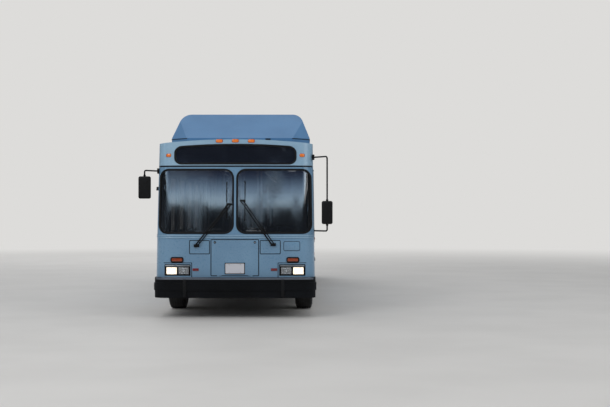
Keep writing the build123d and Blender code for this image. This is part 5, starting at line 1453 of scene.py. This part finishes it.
def pad(name, width, depth, height, crown, channels=2):  # upholstered, its top facing +z, its front at y = 0
    piece = block(name, (0, depth / 2, height / 2), (width / 2, depth / 2, height / 2), 0)
    editing(piece)
    bpy.ops.mesh.bevel(offset=height * 0.30, segments=2, affect="EDGES")
    bpy.ops.mesh.subdivide(number_cuts=1)
    done()
    applied(piece, "SUBSURF", levels=1, render_levels=1)
    half = width / 2
    for vertex in piece.data.vertices:
        x, y, z = vertex.co
        across, along = x / half, (y - depth / 2) / (depth / 2)
        rise = max(0.0, 1 - across * across) * max(0.0, 1 - along * along)
        if z > height * 0.45:
            vertex.co.z += crown * (rise ** 0.5 - 1)
            for i in range(channels):
                middle = half * (2 * (i + 1) / (channels + 1) - 1)
                vertex.co.z -= 0.005 * max(0.0, 1 - abs(x - middle) / (half * 0.11))
        vertex.co.x *= 1 - 0.018 * (1 - along * along)
        vertex.co.y = depth / 2 + (y - depth / 2) * (1 - 0.018 * (1 - across * across))
    return smooth(piece, 60)


def seatFrame(width, height, top):  # two legs on one foot, and a grab bar over the back
    metal, (y, z) = [], top
    for x in around(0.0, width / 2 - 0.06):
        route = [(x, 0.19, 0.004), (x, 0.19, height - 0.06), (x, 0.40, height - 0.058)]
        metal.append(tube("seatLeg", route, 0.015))
    metal.append(block("seatFoot", (0, 0.1925, 0.00525), (width / 2 - 0.03, 0.0425, 0.00475), 0.003))
    low, high = (y, z - 0.03), (y + 0.006, z + 0.002)
    route = [(-0.10, *low), (-0.10, *high), (0.10, *high), (0.10, *low)]
    return metal + [tube("seatGrab", route, 0.009, 0.02)]


def seatModel(width, seats, height, tall=True):  # pads, then shells and frame, at the origin and facing -y
    depth, lean, each = inside["depth"], inside["lean"], width / seats
    rise = inside["backHeight"] - inside["seatHeight"]
    tilt = atan((lean + 0.02) / rise)
    pads, shells, half = [], [], each / 2 - 0.006
    for i in range(seats):
        x = -width / 2 + each * (i + 0.5)
        cushion = pad("seatPad", each - 0.016, depth - 0.030, 0.052, 0.014)
        rest = moved(pad("backPad", each - 0.030, rise - 0.060, 0.030, 0.008), turn=pi / 2 - tilt, axis="X")
        shell = slab("backShell", (-half, 0, 0), (half, 0.014, rise - 0.012), 0.006)
        pads += [moved(cushion, (x, 0.004, height - 0.046)), moved(rest, (x, depth - 0.022, height + 0.040))]
        shells.append(moved(moved(shell, turn=-tilt, axis="X"), (x, depth - 0.028, height + 0.006)))
        if tall:
            low, high = (x - half, 0.006, height - 0.059), (x + half, depth - 0.004, height - 0.044)
            shells.append(slab("seatPan", low, high, 0.005))
    hard = [together("seatShells", "seatShell", shells)]
    if tall:
        metal = seatFrame(width, height, (depth + lean - 0.020, height + rise - 0.004))
        hard.append(together("seatFrame", "satinMetal", metal))
    return joined("seatPads", *pads), joined("seatHard", *hard)


def seatRows():  # each kind of seat is made once, and its copies are placed
    soft, hard = [], []

    def placed(model, by, turn=0.0):
        for kind, piece in zip((soft, hard), model):
            kind.append(moved(copied(piece, turn=turn), by))

    pair = seatModel(inside["pair"], 2, inside["seatHeight"])
    for side, first, count, base in inside["rows"]:
        for i in range(count):
            placed(pair, (side * inside["pairX"], first + i * inside["pitch"], base))
    bench = seatModel(inside["benchWidth"], 2, inside["benchHeight"], False)
    x, y, z = inside["bench"]
    for side in (-1, 1):
        placed(bench, (side * x, y, z), -side * pi / 2)
    last = seatModel(inside["rearBenchWidth"], 5, inside["benchHeight"], False)
    placed(last, inside["rearBench"])
    driver = seatModel(inside["driverWidth"], 1, inside["driverHeight"])
    placed(driver, inside["driver"])
    for piece in (*pair, *bench, *last, *driver):
        bpy.data.objects.remove(piece)
    pads = joined("seatUpholstery", *soft)
    dressed(pads, "seatCloth", replaces=("seats",))
    settled(joined("seatStructures", *hard))


def steeringWheel():
    r, parts = inside["wheelRadius"], []
    rim = [(0.011 + 0.013 * sin(i * pi / 6), r - 0.013 + 0.013 * cos(i * pi / 6)) for i in range(13)]
    hub = [(-0.020, 0.0), (-0.020, 0.045), (0.010, 0.062), (0.020, 0.055), (0.024, 0.0)]
    parts += [lathed("wheelRim", rim, axis="z", steps=56), lathed("wheelHub", hub, axis="z", steps=32)]
    for turn in (0, pi / 2, pi):
        spoke = slab("wheelSpoke", (0.03, -0.018, 0.000), (r - 0.012, 0.018, 0.012), 0.005)
        parts.append(moved(spoke, turn=-turn))
    wheel = together("steeringWheel", "blackPlastic", parts)
    return moved(moved(wheel, turn=-radians(inside["wheelTilt"]), axis="X"), inside["wheel"])


def dashDials():
    dials, (y, z) = [], inside["dialPlace"]
    for shift, r in inside["dials"]:
        shape = [(-0.010, r), (0.008, r), (0.010, r - 0.004), (0.004, r - 0.008), (0.004, 0.0)]
        dial = moved(lathed("dial", shape, axis="z", steps=32), turn=-radians(inside["dialTilt"]), axis="X")
        dials.append(moved(dial, (inside["wheel"][0] + shift, y, z)))
    for i in range(inside["switches"]):
        dials.append(block("switch", (0.252 + i * 0.020, -5.788, 1.1845), (0.007, 0.012, 0.0075), 0.003))
    return together("dashDials", "blackPlastic", dials)


def fareboxParts():
    box, (x, y, z) = [], inside["farebox"]
    for middle, half in ((1.125, 0.075), (1.2575, 0.0325)):
        box.append(block("fareboxPlate", (x, -5.761, middle), (0.075, 0.005, half)))
    box.append(block("fareboxSlot", (x, -5.66, 1.3315), (0.065, 0.04, 0.0065)))
    box.append(block("fareboxRim", (x, -5.655, 1.308), (0.118, 0.113, 0.008), 0.005))
    dome = [(0.0, 0.030), (0.012, 0.030), (0.020, 0.022), (0.022, 0.0)]
    head = lathed("fareboxHead", dome, (x, y, z), "z", 24)
    return joined("fareboxParts", together("fareboxMetal", "satinMetal", box), painted(head, "seatShell"))


def dashSet():
    panel = painted(softened(fromNode("dashBody", "dashboard"), 0.006), "dashPlastic")
    parts = joined("dashFittings", panel, steeringWheel(), dashDials(), fareboxParts())
    settled(parts, replaces=("dashboard",))


def railSet():  # bent ceiling rails, the collars of the stanchions and stiff hanging loops
    parts, straps = [softened(fromNode("grabRailPosts", "grab_rails"), 0.003)], []
    (start, end), (low, top) = inside["railY"], inside["railZ"]
    loop = [(-0.022, 0.004), (-0.012, 0.14), (-0.055, 0.22)]  # along the rail and down from it
    loop += [(-along, down) for along, down in reversed(loop)]
    for side in (-1, 1):
        x = side * (inside["railX"] + 0.10)
        route = [(x, start, top), (x, start + 0.06, low), (x, end - 0.06, low), (x, end, top)]
        parts.append(tube("ceilingRail", route, 0.016, 0.12, 3))
        for y in inside["hangers"]:
            parts.append(drum("railHanger", (x, y, (low + top) / 2), 0.010, top - low, "z", 0.0, 16))
        for y in inside["stanchions"]:
            for z in inside["collars"]:
                parts.append(drum("postCollar", (side * inside["railX"], y, z), 0.030, 0.026, "z", 0.005, 24))
        for i in range(inside["loops"]):
            y = start + 0.9 + i * inside["loopPitch"]
            straps.append(tube("strap", [(x, y + along, low - down) for along, down in loop], 0.008, 0.02))
    rails = together("railParts", "satinMetal", parts)
    loops = together("railLoops", "blackPlastic", straps)
    settled(joined("grabRailSet", rails, loops), replaces=("grab_rails",))


def ceilingAndFloor():
    covers, strips = [], []
    for x in around(0.0, inside["lightX"]):
        for i in range(inside["lights"]):
            y = inside["lightY"] + i * inside["lightPitch"] + 0.67
            covers.append(block("lightCover", (x, y, 2.755), (0.10, 0.67, 0.020), 0.018, 3))
    for y, z in inside["steps"]:
        strips.append(slab("stepEdge", (-1.18, y - 0.003, z - 0.024), (1.18, y + 0.034, z + 0.004), 0.002))
    for start, end in inside["doorways"]:
        strips.append(slab("doorEdge", (-1.19, start, 0.3905), (-1.15, end, 0.3955), 0.002))
    dressed(joined("ceilingLights", *covers), "cabinLight")
    dressed(joined("floorEdges", *strips), "edgeStripe")


seatRows()
dashSet()
railSet()
ceilingAndFloor()
print("inside detailed")


under = {
    "springs": [  # x, y, foot and height
        (0.705, -4.115, 0.590, 0.190), (0.440, 2.985, 0.5203, 0.1694), (0.440, 3.665, 0.5203, 0.1694),
    ],
    "springRadius": 0.095, "folds": 13, "shaft": (3.55, 3.97), "coverBolts": 10, "coverX": 0.152,
    "coverCircle": 0.170, "brakeX": 0.285, "brakeY": -0.150, "brakeZ": 0.070,
    "engineHalf": 0.375, "engineY": (4.600, 5.850), "engineZ": (0.420, 1.100), "cylinders": 6,
    "pulleys": [  # x, z, radius
        (0.0, 0.62, 0.115), (0.21, 0.86, 0.070), (-0.20, 0.90, 0.080), (-0.26, 0.62, 0.055),
    ],
}
bandShape = [(-0.012, 0.073), (-0.012, 0.080), (0.012, 0.080), (0.012, 0.073)]
halfJoint = [(-0.040, 0.046), (-0.034, 0.066), (-0.010, 0.070)]
jointShape = halfJoint + [(-along, radius) for along, radius in reversed(halfJoint)]


def bellowsSet():  # convoluted air springs between their plates
    parts, r = [], under["springRadius"]
    for x, y, low, tall in under["springs"]:
        profile = [(0.0, 0.0), (0.0, r - 0.012), (tall * 0.10, r - 0.012)]
        for i in range(under["folds"]):
            profile.append((tall * (0.14 + 0.72 * i / 12), r - 0.014 - 0.012 * cos((i - 6) * pi / 3)))
        profile += [(tall * 0.90, r - 0.010), (tall, r - 0.010), (tall, 0.0)]
        parts += [lathed("bellows", profile, (side * x, y, low), "z", 32) for side in (-1, 1)]
    dressed(joined("airBellows", *parts), "gasketRubber", replaces=("air_springs",))


def axleDetails():
    iron = softened(fromNode("axleCastings", "axles"), 0.005)
    parts = [applied(iron, "WEIGHTED_NORMAL", keep_sharp=True)]
    centre = 0, body["rearAxle"], body["axleHeight"]
    for side in (-1, 1):
        for i in range(under["coverBolts"]):
            turn = 2 * pi * i / under["coverBolts"]
            place = onCircle(side * under["coverX"], centre, under["coverCircle"], turn)
            parts.append(drum("coverBolt", place, 0.010, 0.014, "x", 0.002, 6))
        x, y, z = side * under["brakeX"], centre[1] + under["brakeY"], centre[2] + under["brakeZ"]
        parts.append(drum("brakeChamber", (x, y, z), 0.072, 0.130, "x", 0.014, 32))
        parts.append(lathed("chamberBand", bandShape, (x, y, z), "x", 32))
        rod = (x + side * 0.060, y, z), (x + side * 0.275, y + 0.030, z - 0.030)
        parts.append(bar("pushRod", *rod, 0.018, 0.018, 0.004))
    for y in under["shaft"]:
        parts.append(lathed("shaftJoint", jointShape, (0, y, centre[2]), "y", 28))
    dressed(joined("axleSet", *parts), "castIron", replaces=("axles",))


def beltDrive(end):  # pulleys on the engine's end, and one belt round them, in turns and straight runs
    pulleys, belt, wheels = [], [], under["pulleys"]
    for x, z, r in wheels:
        groove = [(0.0, 0.0), (0.0, r), (0.010, r), (0.018, r - 0.014), (0.026, r), (0.036, r),
                  (0.036, r * 0.6), (0.024, r * 0.5), (0.024, 0.0)]
        pulleys.append(lathed("pulley", groove, (x, end, z), "y", 32))
        low, high = r - 0.004, r + 0.006
        turn = [(0.012, low), (0.012, high), (0.024, high), (0.024, low), (0.012, low)]
        belt.append(lathed("beltTurn", turn, (x, end, z), "y", 32))
    for (ax, az, ar), (bx, bz, br) in zip(wheels, wheels[1:] + wheels[:1]):
        a, b = Vector((ax, end + 0.018, az)), Vector((bx, end + 0.018, bz))
        way = (b - a).normalized()
        out = Vector((way.z, 0, -way.x))
        belt.append(bar("beltRun", a + out * ar, b + out * br, 0.005, 0.012, 0.001))
    return pulleys, belt


def engineDetails():
    half, (start, end), (low, high) = under["engineHalf"], under["engineY"], under["engineZ"]
    core = softened(fromNode("engineCore", "engine"), 0.014, 3)
    corners = (-0.16, start + 0.12, high - 0.01), (0.16, end - 0.16, high + 0.055)
    core = joined("engineParts", core, slab("rockerCover", *corners, 0.022, 3))
    metal, dark = beltDrive(end)
    side, port = half + 0.020, high - 0.18
    for i in range(under["cylinders"]):
        y = start + 0.20 + i * 0.165
        dark.append(block("coil", (0, y, high + 0.060), (0.045, 0.028, 0.010), 0.008))
        route = [(0.14, y, high - 0.03), (0.30, y, high + 0.03), (side, y, high - 0.08), (side, y, port)]
        metal.append(tube("runner", route, 0.022, 0.08))
    metal.append(tube("manifold", [(side, start + 0.16, port), (side, end - 0.10, port)], 0.040, 0.05, 3))
    route = [(0.10, -0.30, 0.02), (0.45, -0.30, 0.06), (0.90, -0.55, -0.02), (1.17, -0.80, -0.10)]
    metal.append(tube("coolantPipe", [(x, end + y, high + z) for x, y, z in route], 0.030, 0.16, 3))
    corners = (0.05 - half, start + 0.10, low - 0.004), (half - 0.05, end - 0.10, low + 0.012)
    metal.append(slab("sumpRib", *corners))
    parts = [together("engineDark", "gasketRubber", dark), together("engineMetal", "satinMetal", metal)]
    settled(joined("engineSet", painted(core, "enginePaint"), *parts), replaces=("engine",))


def frameDetails():
    rails = softened(fromNode("frameRails", "underframe"), 0.005)
    dressed(rails, "framePaint", replaces=("underframe",))


bellowsSet()
axleDetails()
engineDetails()
frameDetails()
print("underside detailed")
